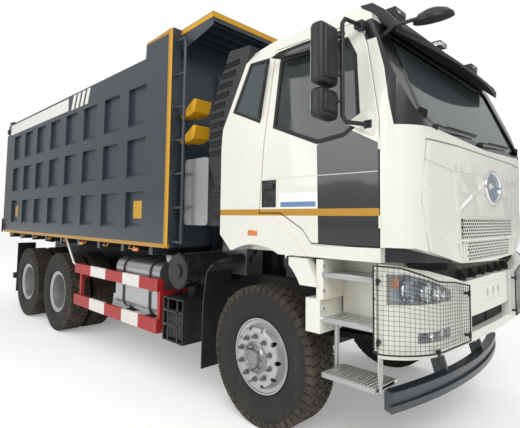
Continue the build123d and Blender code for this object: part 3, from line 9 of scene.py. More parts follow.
import bmesh
import bpy
from bpy.props import FloatProperty, FloatVectorProperty, IntProperty, PointerProperty
from mathutils import Matrix, Vector
from mathutils.bvhtree import BVHTree


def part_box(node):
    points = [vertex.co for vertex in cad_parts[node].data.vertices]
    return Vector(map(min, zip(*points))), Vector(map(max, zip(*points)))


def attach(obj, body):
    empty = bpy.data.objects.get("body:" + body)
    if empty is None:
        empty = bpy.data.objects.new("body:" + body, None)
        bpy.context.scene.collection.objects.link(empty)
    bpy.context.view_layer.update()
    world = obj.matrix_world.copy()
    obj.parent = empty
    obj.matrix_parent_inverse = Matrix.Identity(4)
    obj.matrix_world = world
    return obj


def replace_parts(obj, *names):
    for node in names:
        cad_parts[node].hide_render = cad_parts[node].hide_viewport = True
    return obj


bl_info = {
    "name": "Dump truck finish",
    "version": (1, 0, 0),
    "blender": (4, 5, 0),
    "location": "View3D > Sidebar > Truck",
    "description": "Builds the looks of a three-axle dump truck around its packed frame",
    "category": "Object",
}

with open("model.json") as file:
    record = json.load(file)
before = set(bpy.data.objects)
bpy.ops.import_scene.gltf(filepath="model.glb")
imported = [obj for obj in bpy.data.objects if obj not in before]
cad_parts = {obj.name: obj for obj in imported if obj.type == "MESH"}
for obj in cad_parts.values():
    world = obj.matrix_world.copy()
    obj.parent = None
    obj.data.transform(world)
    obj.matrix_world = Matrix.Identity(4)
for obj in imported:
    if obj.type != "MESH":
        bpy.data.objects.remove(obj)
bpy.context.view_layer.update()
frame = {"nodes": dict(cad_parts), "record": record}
NODES = frame["nodes"]
SLOTS = {part["node"]: part["material_slot"] for part in frame["record"]["subparts"]}
SIDES = (("right", -1.0), ("left", 1.0))


FORWARD = (1, 0, 0)
CAD_WELD = 0.00005                          # joins the loose triangles of a frame node
CLAMP_LENGTH = 0.03                         # of a hose's end


def middle(name):
    """The centre of a frame node's box."""
    low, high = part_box(name)
    return (low + high) / 2


AXLE = middle("front_rim_right")[0]         # x of the front axle
AXLE_Z = middle("front_rim_right")[2]


def ahead(distance):
    """The x of a place given by its distance ahead of the front axle."""
    return AXLE + distance


def tint(text):
    """A colour for a shader from its six-digit sRGB code."""
    parts = [int(text[i:i + 2], 16) / 255 for i in (1, 3, 5)]
    return [p / 12.92 if p <= 0.04045 else ((p + 0.055) / 1.055) ** 2.4 for p in parts] + [1.0]


# ---------------------------------------------------------------- what a user may change
def paint_setting(name, description, code):
    """A colour that a user may change."""
    return FloatVectorProperty(name=name, description=description, subtype="COLOR", size=4, min=0, max=1,
                               default=tint(code))


def length_setting(name, description, default):
    """A length that a user may change."""
    return FloatProperty(name=name, description=description, default=default, unit="LENGTH")


def count_setting(name, description, default, least, most):
    """A number of like pieces that a user may change."""
    return IntProperty(name=name, description=description, default=default, min=least, max=most)


class TruckColours(bpy.types.PropertyGroup):
    """Colours of the truck's paint and trim."""
    cab: paint_setting("Cab enamel", "Cab, doors, front lid and bumper", "#e6e5da")
    body: paint_setting("Body enamel", "Ribbed load body, ladder and tailgate", "#2c3640")
    tape: paint_setting("Edge tape", "Gold tape along the cab and the body's edges", "#b4830f")
    trim: paint_setting("Black trim", "Mirrors, visor, intake and mudguards", "#14171b")
    rubber: paint_setting("Tyre rubber", "Tyres and window seals", "#1d1e1e")
    dust: paint_setting("Road dust", "Dust that settles low on the truck", "#8d8371")


class TruckSizes(bpy.types.PropertyGroup):
    """Counts and sizes of the fitted pieces."""
    tread_pitches: count_setting("Tread pitches", "Tread blocks round a tyre", 48, 24, 72)
    studs: count_setting("Wheel nuts", "Nuts on each wheel", 10, 6, 12)
    edge_radius: length_setting("Edge radius", "Rounding of the panels' edges", 0.005)
    guard_columns: count_setting("Guard columns", "Upright wires of a lamp guard", 27, 8, 40)
    guard_rows: count_setting("Guard rows", "Level wires of a lamp guard", 18, 6, 30)
    guard_wire: length_setting("Guard wire", "Radius of a lamp guard's wire", 0.0013)
    rubber_width: length_setting("Window rubber", "Width of the seals round the windows", 0.030)
    stack_slots: count_setting("Intake louvres", "Louvres down the air intake", 10, 4, 20)


# ---------------------------------------------------------------- shader helpers
def wire(tree, kind, inputs=None, **settings):
    """A new node with its settings made and its inputs set or linked."""
    made = tree.nodes.new(kind)
    for key, value in settings.items():
        setattr(made, key, value)
    for key, value in (inputs or {}).items():
        if isinstance(value, bpy.types.NodeSocket):
            tree.links.new(value, made.inputs[key])
        else:
            made.inputs[key].default_value = value
    return made


def math_node(tree, operation, a, b=0.0):
    """The output of one Math node."""
    return wire(tree, "ShaderNodeMath", {0: a, 1: b}, operation=operation).outputs[0]


def mix_colour(tree, mask, a, b):
    """The colour a, giving way to b where the mask is 1."""
    return wire(tree, "ShaderNodeMix", {0: mask, 6: a, 7: b}, data_type="RGBA").outputs[2]


def spread(tree, value, from_low, from_high, to_low, to_high):
    """A value carried from one range to another."""
    return wire(tree, "ShaderNodeMapRange",
                {0: value, 1: from_low, 2: from_high, 3: to_low, 4: to_high}).outputs[0]


def noise(tree, place, scale, detail=4.0, roughness=0.55):
    """The value of a noise texture."""
    return wire(tree, "ShaderNodeTexNoise", {"Vector": place, "Scale": scale, "Detail": detail,
                                             "Roughness": roughness}).outputs[0]


def new_group(name, inputs, outputs):
    """A shader group with its sockets, given as (name, type, default) and (name, type)."""
    tree = bpy.data.node_groups.new(name, "ShaderNodeTree")
    kinds = {"value": "NodeSocketFloat", "colour": "NodeSocketColor", "vector": "NodeSocketVector"}
    for label, kind, default in inputs:
        socket = tree.interface.new_socket(name=label, in_out="INPUT", socket_type=kinds[kind])
        if default is not None:
            socket.default_value = default
    for label, kind in outputs:
        tree.interface.new_socket(name=label, in_out="OUTPUT", socket_type=kinds[kind])
    return tree, tree.nodes.new("NodeGroupInput").outputs, tree.nodes.new("NodeGroupOutput").inputs


def band_group():
    """A mask that is 1 where a value lies between two limits."""
    tree, given, out = new_group("Band", [("Value", "value", 0.0), ("Low", "value", 0.0),
                                          ("High", "value", 1.0)], [("Mask", "value")])
    above = math_node(tree, "GREATER_THAN", given["Value"], given["Low"])
    below = math_node(tree, "LESS_THAN", given["Value"], given["High"])
    tree.links.new(math_node(tree, "MULTIPLY", above, below), out["Mask"])
    return tree


def side_group():
    """A mask that is 1 to the left of a line through one point along a direction."""
    tree, given, out = new_group("Side of line", [(word, "value", 0.0) for word in
                                                  ("U", "V", "From U", "From V", "Along U", "Along V")],
                                 [("Mask", "value")])
    rise = math_node(tree, "MULTIPLY", given["Along U"], math_node(tree, "SUBTRACT", given["V"], given["From V"]))
    run = math_node(tree, "MULTIPLY", given["Along V"], math_node(tree, "SUBTRACT", given["U"], given["From U"]))
    tree.links.new(math_node(tree, "GREATER_THAN", math_node(tree, "SUBTRACT", rise, run), 0.0), out["Mask"])
    return tree


def dust_group():
    """Road dust: heavier low on the truck, broken up by two sizes of noise and by streaks."""
    tree, given, out = new_group("Road dust", [("Place", "vector", None), ("Amount", "value", 0.3),
                                               ("Top", "value", 1.5)], [("Mask", "value")])
    height = wire(tree, "ShaderNodeSeparateXYZ", {0: given["Place"]}).outputs["Z"]
    rise = math_node(tree, "DIVIDE", height, given["Top"])
    low = spread(tree, rise, 0.0, 1.0, 1.0, 0.12)
    spots = spread(tree, noise(tree, given["Place"], 3.0, 6.0, 0.65), 0.35, 0.7, 0.0, 1.0)
    drawn = wire(tree, "ShaderNodeMapping", {0: given["Place"], "Scale": (9.0, 9.0, 0.9)}).outputs[0]
    streaks = spread(tree, noise(tree, drawn, 2.0, 3.0), 0.45, 0.75, 0.25, 1.0)
    mask = math_node(tree, "MULTIPLY", math_node(tree, "MULTIPLY", low, math_node(tree, "MULTIPLY", spots, streaks)),
                     given["Amount"])
    tree.links.new(mask, out["Mask"])
    return tree


def grain_group():
    """Fine unevenness of a moulded or cast surface over a broad ripple, as a height."""
    tree, given, out = new_group("Fine grain", [("Place", "vector", None), ("Scale", "value", 300.0)],
                                 [("Height", "value")])
    fine = noise(tree, given["Place"], given["Scale"], 3.0)
    broad = noise(tree, given["Place"], math_node(tree, "MULTIPLY", given["Scale"], 0.02), 2.0)
    tree.links.new(math_node(tree, "ADD", fine, math_node(tree, "MULTIPLY", broad, 0.8)), out["Height"])
    return tree


BAND, SIDE, DUST, GRAIN = band_group(), side_group(), dust_group(), grain_group()


def use_group(tree, group, **inputs):
    """The outputs of a group placed in a material with its own values."""
    return wire(tree, "ShaderNodeGroup", {k.replace("_", " "): v for k, v in inputs.items()},
                node_tree=group).outputs


def new_material(name, **values):
    """A material with one Principled shader: returns it, its tree, shader and object coordinates."""
    made = bpy.data.materials.new(name)
    made.use_nodes = True
    tree = made.node_tree
    shader = tree.nodes["Principled BSDF"]
    for key, value in values.items():
        shader.inputs[key.replace("_", " ")].default_value = value
    place = wire(tree, "ShaderNodeTexCoord").outputs["Object"]
    return made, tree, shader, place


def region_mask(tree, axes, limits=(), outline=()):
    """Where a painted region lies: within limits on some axes, and inside a convex (x, z) outline."""
    mask = None
    for axis, low, high in limits:
        value = math_node(tree, "ABSOLUTE", axes["Y"]) if axis == "|Y|" else axes[axis]
        part = use_group(tree, BAND, Value=value, Low=low, High=high)["Mask"]
        mask = part if mask is None else math_node(tree, "MULTIPLY", mask, part)
    for (x0, z0), (x1, z1) in zip(outline, outline[1:] + outline[:1]):
        part = use_group(tree, SIDE, U=axes["X"], V=axes["Z"], From_U=ahead(x0), From_V=z0,
                         Along_U=x1 - x0, Along_V=z1 - z0)["Mask"]
        mask = part if mask is None else math_node(tree, "MULTIPLY", mask, part)
    return mask


def coat_of(name, colour, roughness, dust=0.3, dust_top=1.5, grain=300.0, bump=0.02, regions=(), **values):
    """A painted, moulded or rubber surface: colour, painted regions, dust and fine grain."""
    made, tree, shader, place = new_material(name, **values)
    base = tint(colour) if isinstance(colour, str) else tuple(colour)
    axes = wire(tree, "ShaderNodeSeparateXYZ", {0: place}).outputs
    mottle = spread(tree, noise(tree, place, 1.7, 3.0), 0.3, 0.7, 0.94, 1.0)
    shade = wire(tree, "ShaderNodeMix", {0: 1.0, 6: base, 7: mottle}, data_type="RGBA", blend_type="MULTIPLY")
    base = shade.outputs[2]
    for region in regions:
        mask = region_mask(tree, axes, region.get("limits", ()), region.get("outline", ()))
        paint = region["colour"]
        base = mix_colour(tree, mask, base, tint(paint) if isinstance(paint, str) else tuple(paint))
    dirt = use_group(tree, DUST, Place=place, Amount=dust, Top=dust_top)["Mask"]
    tree.links.new(mix_colour(tree, dirt, base, tuple(bpy.context.scene.truck_colours.dust)),
                   shader.inputs["Base Color"])
    tree.links.new(spread(tree, dirt, 0.0, 1.0, roughness, min(1.0, roughness + 0.35)),
                   shader.inputs["Roughness"])
    if bump:
        height = use_group(tree, GRAIN, Place=place, Scale=grain)["Height"]
        normal = wire(tree, "ShaderNodeBump", {"Height": height, "Strength": bump, "Distance": 0.01}).outputs[0]
        tree.links.new(normal, shader.inputs["Normal"])
    return made


def glass_of(name, colour, clear, roughness=0.02):
    """Thin automotive glass: tinted, glossy, partly see-through, with faint smears."""
    made, tree, shader, place = new_material(name, IOR=1.45, Transmission_Weight=clear)
    smears = spread(tree, noise(tree, place, 5.0, 5.0), 0.4, 0.8, roughness, roughness + 0.1)
    tree.links.new(smears, shader.inputs["Roughness"])
    film = spread(tree, noise(tree, place, 2.0, 3.0), 0.3, 0.7, 0.0, 0.12)
    tree.links.new(mix_colour(tree, film, tint(colour), tint("#aab0b0")), shader.inputs["Base Color"])
    return made


MATERIALS = {}
INK = "#0c0e11"                             # black round the windscreen and on the doors
PALE = "#e9e9e4"                            # banner and slashes of the load body


def make_materials(colours):
    """One material for each finish on the truck."""
    gold, cab, trim = tuple(colours.tape), tuple(colours.cab), tuple(colours.trim)
    tape = {"colour": gold, "limits": (("Z", 1.697, 1.747), ("|Y|", 1.12, 1.3), ("X", ahead(-0.43), ahead(1.15)))}
    enamel = {"Coat_Weight": 0.6, "Coat_Roughness": 0.06}
    # the black round the windscreen runs over the pillars and the strip above the glass
    pillar = [{"colour": INK, "limits": (("|Y|", 0.95, 1.26),), "outline": points} for points in
              ([(1.084, 2.953), (1.172, 2.657), (1.5, 2.657), (1.5, 2.953)],
               [(1.172, 2.657), (1.237, 2.271), (1.5, 2.262), (1.5, 2.657)])]
    header = {"colour": INK, "limits": (("Z", 2.88, 3.03), ("X", ahead(1.02), ahead(1.5)))}
    MATERIALS["cab_paint"] = coat_of("cab enamel", cab, 0.3, 0.16, 1.3, 14.0, 0.02, [tape, header] + pillar, **enamel)
    panel = [(0.665, 1.40), (1.16, 1.40), (1.16, 2.155), (0.88, 2.302), (0.650, 2.20)]
    door_black = {"colour": INK, "outline": panel}
    sticker = {"colour": "#f2f2ee", "limits": (("Z", 1.755, 1.868), ("X", ahead(0.285), ahead(0.655)))}
    blue = {"colour": "#5f83ad", "limits": (("Z", 1.762, 1.80), ("X", ahead(0.30), ahead(0.64)))}
    MATERIALS["door_paint"] = coat_of("door enamel", cab, 0.3, 0.16, 1.3, 14.0, 0.02,
                                      (door_black, sticker, blue, tape), **enamel)
    edge = {"colour": gold}
    body_tape = [dict(edge, limits=(("|Y|", 1.215, 1.3), ("Z", 1.30, 1.402))),
                 dict(edge, limits=(("|Y|", 1.2, 1.3), ("X", ahead(-1.335), ahead(-1.29)))),
                 dict(edge, limits=(("|Y|", 1.1, 1.3), ("X", ahead(-1.80), ahead(-1.29)), ("Z", 3.628, 3.69)))]
    banner = {"colour": PALE, "limits": (("|Y|", 1.2, 1.3), ("X", ahead(-6.95), ahead(-4.05)), ("Z", 3.25, 3.44))}
    slashes = [{"colour": PALE, "limits": (("|Y|", 1.2, 1.3),),
                "outline": [(start - 0.12, 3.24), (start - 0.02, 3.24), (start + 0.06, 3.45), (start - 0.04, 3.45)]}
               for start in (-3.82, -3.66, -3.50, -3.34)]
    labels = [{"colour": "#c79a16", "limits": (("|Y|", 1.13, 1.3), ("X", ahead(low), ahead(low + 0.19)),
                                               ("Z", 1.66, 1.86))} for low in (-2.06, -6.57)]
    MATERIALS["body_paint"] = coat_of("body enamel", tuple(colours.body), 0.36, 0.22, 3.4, 40.0, 0.03,
                                      body_tape + [banner] + slashes + labels, Coat_Weight=0.25,
                                      Coat_Roughness=0.2)
    for finish, name, colour, roughness, dust, dust_top, grain, bump, metal in (
            ("chassis_paint", "chassis paint", "#111315", 0.5, 0.5, 1.2, 120.0, 0.05, 0.0),
            ("black_plastic", "black plastic", trim, 0.45, 0.22, 1.4, 900.0, 0.06, 0.0),
            ("interior", "cab interior", "#3b3c40", 0.7, 0.05, 1.0, 700.0, 0.1, 0.0)):
        MATERIALS[finish] = coat_of(name, colour, roughness, dust, dust_top, grain, bump, Metallic=metal)
    MATERIALS["seat_fabric"] = coat_of("seat cloth", "#45474d", 0.9, 0.1, 1.0, 700.0, 0.3, Sheen_Weight=0.3)
    for finish, name, colour, roughness, dust, dust_top, grain, bump, metal in (
            ("canvas", "tarpaulin", "#24272b", 0.8, 0.3, 3.6, 500.0, 0.3, 0.0),
            ("engine_iron", "engine iron", "#4c5356", 0.6, 0.5, 1.4, 200.0, 0.1, 0.0),
            ("tank_alloy", "tank alloy", "#b7b9ba", 0.3, 0.35, 1.4, 30.0, 0.03, 0.9),
            ("step_alloy", "step alloy", "#9fa1a1", 0.42, 0.3, 1.2, 300.0, 0.05, 0.8),
            ("silver", "bare alloy", "#aeb0b0", 0.34, 0.25, 1.2, 200.0, 0.04, 0.85),
            ("rim_alloy", "rim alloy", "#b9babb", 0.4, 0.3, 1.1, 90.0, 0.03, 0.75),
            ("tyre", "tyre rubber", tuple(colours.rubber), 0.8, 0.22, 1.15, 200.0, 0.08, 0.0),
            ("tread", "tread rubber", "#2c2620", 0.9, 0.75, 1.6, 90.0, 0.3, 0.0),
            ("rubber", "seal rubber", "#141516", 0.6, 0.1, 1.4, 500.0, 0.08, 0.0),
            ("frit", "black glass border", "#0c0d0e", 0.12, 0.06, 1.4, 20.0, 0.0, 0.0)):
        MATERIALS[finish] = coat_of(name, colour, roughness, dust, dust_top, grain, bump, Metallic=metal)
    red = [{"colour": "#a81d20", "limits": (("X", ahead(low), ahead(high)),)}
           for low, high in ((-1.80, -1.42), (-2.62, -2.18), (-3.56, -3.05))]
    MATERIALS["guard_paint"] = coat_of("guard paint", "#e6e4dd", 0.42, 0.3, 1.3, 60.0, 0.03, red)
    MATERIALS["blank_plate"] = coat_of("blank plate", "#e4e4e0", 0.4, 0.3, 1.3, 60.0, 0.02)
    MATERIALS["muffler_steel"] = coat_of("muffler steel", "#6e6d6a", 0.55, 0.5, 1.2, 60.0, 0.05, Metallic=0.7)
    MATERIALS["hoist_paint"] = coat_of("hoist paint", "#23262a", 0.45, 0.3, 1.6)
    for finish, name, colour, roughness, dust, dust_top, grain, bump, metal in (
            ("hoist_chrome", "hoist chrome", "#c7c9cc", 0.15, 0.1, 1.6, 40.0, 0.01, 1.0),
            ("chrome", "lamp chrome", "#dfe1e3", 0.08, 0.03, 1.6, 40.0, 0.0, 1.0),
            ("lamp_shell", "lamp shell", "#9fb0bd", 0.25, 0.05, 1.6, 60.0, 0.02, 0.8),
            ("mirror_face", "mirror face", "#b9c0c4", 0.04, 0.03, 1.6, 40.0, 0.0, 1.0),
            ("bolt", "plated bolts", "#8f9191", 0.35, 0.4, 1.3, 200.0, 0.03, 0.9),
            ("chock_yellow", "chock plastic", "#d39d08", 0.5, 0.3, 3.0, 300.0, 0.1, 0.0),
            ("wire_black", "guard wire", "#111214", 0.4, 0.15, 1.3, 200.0, 0.02, 0.0),
            # painted shade: near-black for the sheets set behind the grille, the nose gap and the bumper's openings,
            # standing in for the shade inside them
            ("painted_shade_black", "painted shade", "#0b0c0d", 0.7, 0.15, 1.3, 200.0, 0.02, 0.0),
            ("paper", "blank paper", "#d9dcdc", 0.8, 0.0, 1.0, 200.0, 0.02, 0.0)):
        MATERIALS[finish] = coat_of(name, colour, roughness, dust, dust_top, grain, bump, Metallic=metal)
    MATERIALS["glass"] = glass_of("window glass", "#7d8a8e", 0.75)
    MATERIALS["side_glass"] = glass_of("side window glass", "#27302f", 0.3, 0.01)
    MATERIALS["clear_lens"] = glass_of("lamp cover", "#f4f6f6", 0.95)
    MATERIALS["lamp_lens"] = glass_of("lamp lens", "#dfe4e6", 0.7)
    MATERIALS["amber"] = coat_of("amber lens", "#d9720a", 0.12, 0.05, 1.4, 40.0, 0.0, Coat_Weight=1.0)
    MATERIALS["red_lens"] = coat_of("red lens", "#8e0f12", 0.15, 0.15, 1.4, 40.0, 0.0, Coat_Weight=1.0)


# ---------------------------------------------------------------- modelling helpers
def keep(bm, name, body, finish, smooth=35.0, merge=0.00002, turn_out=True):
    """Makes a mesh a piece of the truck: it rides on a body and wears a finish."""
    if merge:
        bmesh.ops.remove_doubles(bm, verts=bm.verts, dist=merge)
    if turn_out:
        bmesh.ops.recalc_face_normals(bm, faces=bm.faces)
    for edge in bm.edges:
        edge.smooth = len(edge.link_faces) != 2 or edge.calc_face_angle(0.0) < math.radians(smooth)
    for face in bm.faces:
        face.smooth = True
    mesh = bpy.data.meshes.new(name)
    bm.to_mesh(mesh)
    bm.free()
    made = bpy.data.objects.new(name, mesh)
    bpy.context.scene.collection.objects.link(made)
    mesh.materials.append(MATERIALS[finish])
    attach(made, body)
    return made


def settle(piece):
    """Turns a piece's modifiers into its mesh."""
    ready = piece.evaluated_get(bpy.context.evaluated_depsgraph_get())
    mesh = bpy.data.meshes.new_from_object(ready)
    piece.modifiers.clear()
    old, piece.data = piece.data, mesh
    mesh.name = piece.name
    bpy.data.meshes.remove(old)
    return piece


def carve(piece, cut):
    """Cuts a bmesh of closed shapes out of a piece."""
    mesh = bpy.data.meshes.new("cutter")
    bmesh.ops.recalc_face_normals(cut, faces=cut.faces)
    cut.to_mesh(mesh)
    cut.free()
    cutter = bpy.data.objects.new("cutter", mesh)
    bpy.context.scene.collection.objects.link(cutter)
    taking = piece.modifiers.new("cut", "BOOLEAN")
    taking.object = cutter
    taking.solver = "EXACT"
    taking.use_self = True
    settle(piece)
    bpy.data.objects.remove(cutter)
    return piece


def soften(piece, width, segments=2, angle=35.0):
    """Rounds a piece's sharp edges and evens its shading."""
    bevel = piece.modifiers.new("rounding", "BEVEL")
    bevel.width = width
    bevel.segments = segments
    bevel.limit_method = "ANGLE"
    bevel.angle_limit = math.radians(angle)
    weigh = piece.modifiers.new("shading", "WEIGHTED_NORMAL")
    weigh.keep_sharp = True
    return settle(piece)


def slab(bm, x, y, z, bevel=0.0, segments=2):
    """A box between two distances ahead, two y and two z, with rounded edges."""
    made = bmesh.ops.create_cube(bm, size=1.0)["verts"]
    bmesh.ops.scale(bm, verts=made, vec=(abs(x[1] - x[0]), abs(y[1] - y[0]), abs(z[1] - z[0])))
    bmesh.ops.translate(bm, verts=made, vec=(ahead(sum(x) / 2), sum(y) / 2, sum(z) / 2))
    round_edges(bm, made, bevel, segments)


def round_edges(bm, verts, bevel, segments=2):
    """Rounds every edge of a shape that was just added to a bmesh."""
    if bevel:
        edges = list({edge for vert in verts for edge in vert.link_edges})
        bmesh.ops.bevel(bm, geom=edges, offset=bevel, offset_type="OFFSET", affect="EDGES",
                        segments=segments, profile=0.5, material=-1)


def prism(bm, outline, axis, low, high, bevel=0.0, segments=2):
    """An outline carried along an axis: (ahead, z) along Y, (y, z) along X or (ahead, y) along Z."""
    place = {"Y": lambda u, v, w: (ahead(u), w, v), "X": lambda u, v, w: (ahead(w), u, v),
             "Z": lambda u, v, w: (ahead(u), v, w)}[axis]
    face = bm.faces.new([bm.verts.new(place(u, v, low)) for u, v in outline])
    raised = bmesh.ops.extrude_face_region(bm, geom=[face])["geom"]
    tops = [item for item in raised if isinstance(item, bmesh.types.BMVert)]
    bmesh.ops.translate(bm, verts=tops, vec=Vector(place(0, 0, high)) - Vector(place(0, 0, low)))
    round_edges(bm, tops + list(face.verts), bevel, segments)


def rod(bm, start, end, radius, end_radius=None):
    """A round bar or cone between two points given as (ahead, y, z)."""
    a, b = Vector((ahead(start[0]), *start[1:])), Vector((ahead(end[0]), *end[1:]))
    turn = (b - a).to_track_quat("Z", "Y").to_matrix().to_4x4()
    return bmesh.ops.create_cone(bm, cap_ends=True, segments=12, radius1=radius,
                                 radius2=radius if end_radius is None else end_radius, depth=(b - a).length,
                                 matrix=Matrix.Translation((a + b) / 2) @ turn)["verts"]


def turned(bm, profile, centre, axis=(0, 1, 0), steps=64, closed=False):
    """A profile of (along, radius) pairs spun round an axis through a point."""
    centre, axis = Vector(centre), Vector(axis).normalized()
    out = axis.orthogonal().normalized() if abs(axis.z) > 0.9 else (Vector((0, 0, 1)) - axis * axis.z).normalized()
    verts = [bm.verts.new(centre + axis * along + out * radius) for along, radius in profile]
    pairs = list(zip(verts, verts[1:])) + ([(verts[-1], verts[0])] if closed else [])
    edges = [bm.edges.new(pair) for pair in pairs]
    bmesh.ops.spin(bm, geom=verts + edges, cent=centre, axis=axis, angle=2 * math.pi, steps=steps,
                   use_merge=True, use_duplicate=False)
    bmesh.ops.remove_doubles(bm, verts=bm.verts, dist=0.00001)


def tube(bm, points, radius, steps=8, smooth=False, closed=False):
    """A bent tube through points given as (ahead, y, z), added to a bmesh."""
    curve = bpy.data.curves.new("tube", "CURVE")
    curve.dimensions = "3D"
    curve.bevel_depth = radius
    curve.bevel_resolution = max(1, steps // 4)
    curve.use_fill_caps = True
    spline = curve.splines.new("NURBS" if smooth else "POLY")
    spline.points.add(len(points) - 1)
    for point, place in zip(spline.points, points):
        point.co = (ahead(place[0]), place[1], place[2], 1.0)
    spline.use_cyclic_u = closed
    if smooth:
        spline.order_u = 3
        spline.use_endpoint_u = not closed
    holder = bpy.data.objects.new("tube", curve)
    mesh = bpy.data.meshes.new_from_object(holder)
    bm.from_mesh(mesh)
    bpy.data.objects.remove(holder)
    bpy.data.meshes.remove(mesh)
    bpy.data.curves.remove(curve)


def copies_round(bm, centre, axis, count):
    """Repeats everything in a bmesh evenly round an axis."""
    bmesh.ops.spin(bm, geom=bm.verts[:] + bm.edges[:] + bm.faces[:], cent=centre, axis=axis,
                   angle=2 * math.pi * (count - 1) / count, steps=count - 1, use_duplicate=True, use_merge=False)


def to_left(bm, sign):
    """Carries a shape built for the right side to the left one."""
    if sign > 0:
        bmesh.ops.scale(bm, verts=bm.verts, vec=(1, -1, 1))


def with_mirror(bm):
    """Adds the left-hand twin of everything in a bmesh."""
    twin = bmesh.ops.duplicate(bm, geom=bm.verts[:] + bm.edges[:] + bm.faces[:])["geom"]
    bmesh.ops.scale(bm, verts=[item for item in twin if isinstance(item, bmesh.types.BMVert)], vec=(1, -1, 1))


def sieve(bm, u_count, v_count, place, margin=0.28, corner=0.42, thick=0.0015):
    """A perforated sheet: a grid of cells with an eight-sided hole in each, laid by a function of (u, v)."""
    made = bmesh.ops.create_grid(bm, x_segments=u_count, y_segments=v_count, size=0.5)["verts"]
    cells = list({face for vert in made for face in vert.link_faces})
    unit, ratio = 1.0 / u_count, v_count / u_count
    bmesh.ops.scale(bm, verts=made, vec=(1.0, ratio, 1.0))
    bmesh.ops.inset_individual(bm, faces=cells, thickness=unit * margin, depth=0.0)
    corners = list({vert for face in cells for vert in face.verts})
    bmesh.ops.bevel(bm, geom=corners, offset=unit * corner * (1 - 2 * margin), affect="VERTICES", segments=1,
                    profile=0.5, material=-1)
    holes = [face for face in bm.faces if len(face.verts) == 8]
    bmesh.ops.delete(bm, geom=holes, context="FACES_ONLY")
    for vert in bm.verts:
        vert.co = place(vert.co.x + 0.5, vert.co.y / ratio + 0.5)
    bmesh.ops.recalc_face_normals(bm, faces=bm.faces)
    bmesh.ops.solidify(bm, geom=bm.faces[:], thickness=thick)


def merged(node):
    """A bmesh of a frame node with its loose triangles joined."""
    bm = bmesh.new()
    bm.from_mesh(NODES[node].data)
    bmesh.ops.remove_doubles(bm, verts=bm.verts, dist=CAD_WELD)
    return bm


def join_in(bm, part):
    """Moves everything of one bmesh into another."""
    mesh = bpy.data.meshes.new("part")
    part.to_mesh(mesh)
    part.free()
    bm.from_mesh(mesh)
    bpy.data.meshes.remove(mesh)


def skin_of(*names):
    """A tree for finding the surface of some frame nodes."""
    bm = bmesh.new()
    for name in names:
        bm.from_mesh(NODES[name].data)
    tree = BVHTree.FromBMesh(bm)
    bm.free()
    return tree


def front_of(tree, y, z, default=1.38):
    """The distance ahead at which a level ray from in front meets a surface."""
    hit = tree.ray_cast(Vector((ahead(2.5), y, z)), Vector((-1, 0, 0)))[0]
    return hit.x - AXLE if hit else default


def dressed(node, finish, width):
    """A merged, softened copy of a frame node, which stands for it."""
    bm = merged(node)
    bmesh.ops.dissolve_limit(bm, angle_limit=math.radians(1.0), verts=bm.verts, edges=bm.edges)
    body = next(name for name, held in frame["record"]["behaviour"]["bodies"].items() if node in held)
    made = keep(bm, node + "_finished", body, finish, 30.0, 0.0, False)
    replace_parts(made, node)
    if width:
        soften(made, width)
    return made


def pane_border(node, name, body, facing, width, lift, finish, thick=0.0, least=0.45):
    """A band round the outer face of a pane, which is what faces one way by at least a cosine."""
    bm = merged(node)
    facing = Vector(facing)
    away = [face for face in bm.faces if face.normal.dot(facing) < least]
    bmesh.ops.delete(bm, geom=away, context="FACES")
    inner = bm.faces[:]
    bmesh.ops.inset_region(bm, faces=inner, thickness=width, use_boundary=True, use_even_offset=True)
    bmesh.ops.delete(bm, geom=inner, context="FACES")
    bmesh.ops.translate(bm, verts=bm.verts, vec=facing * lift)
    if thick:
        bmesh.ops.solidify(bm, geom=bm.faces[:], thickness=-thick)
    return keep(bm, name, body, finish, 50.0)


# ---------------------------------------------------------------- stage and panels
EYE = (2.507, -3.631, 1.677)                # ahead of the front axle, y, z
EYE_YAW = math.radians(134.02)
EYE_PITCH = math.radians(4.17)
EYE_ROLL = math.radians(0.573)
PICTURE = (520, 428)
FOCAL_PIXELS = 424.27
CENTRE_PIXEL = (270.8, 187.2)
SENSOR = 36.0


def make_camera():
    """The camera at the chosen viewpoint."""
    data = bpy.data.cameras.new("camera")
    camera = bpy.data.objects.new("camera", data)
    bpy.context.scene.collection.objects.link(camera)
    onward = Vector((math.cos(EYE_YAW) * math.cos(EYE_PITCH), math.sin(EYE_YAW) * math.cos(EYE_PITCH),
                     math.sin(EYE_PITCH)))
    right = onward.cross(Vector((0, 0, 1))).normalized()
    up = right.cross(onward)
    turned_right = right * math.cos(EYE_ROLL) + up * math.sin(EYE_ROLL)
    turned_up = up * math.cos(EYE_ROLL) - right * math.sin(EYE_ROLL)
    spin = Matrix((turned_right, turned_up, -onward)).transposed().to_4x4()
    camera.matrix_world = Matrix.Translation((ahead(EYE[0]), EYE[1], EYE[2])) @ spin
    data.sensor_width = SENSOR
    data.lens = FOCAL_PIXELS * SENSOR / PICTURE[0]
    data.shift_x = -(CENTRE_PIXEL[0] - PICTURE[0] / 2) / PICTURE[0]
    data.shift_y = (CENTRE_PIXEL[1] - PICTURE[1] / 2) / PICTURE[0]
    data.clip_end = 200.0
    bpy.context.scene.camera = camera


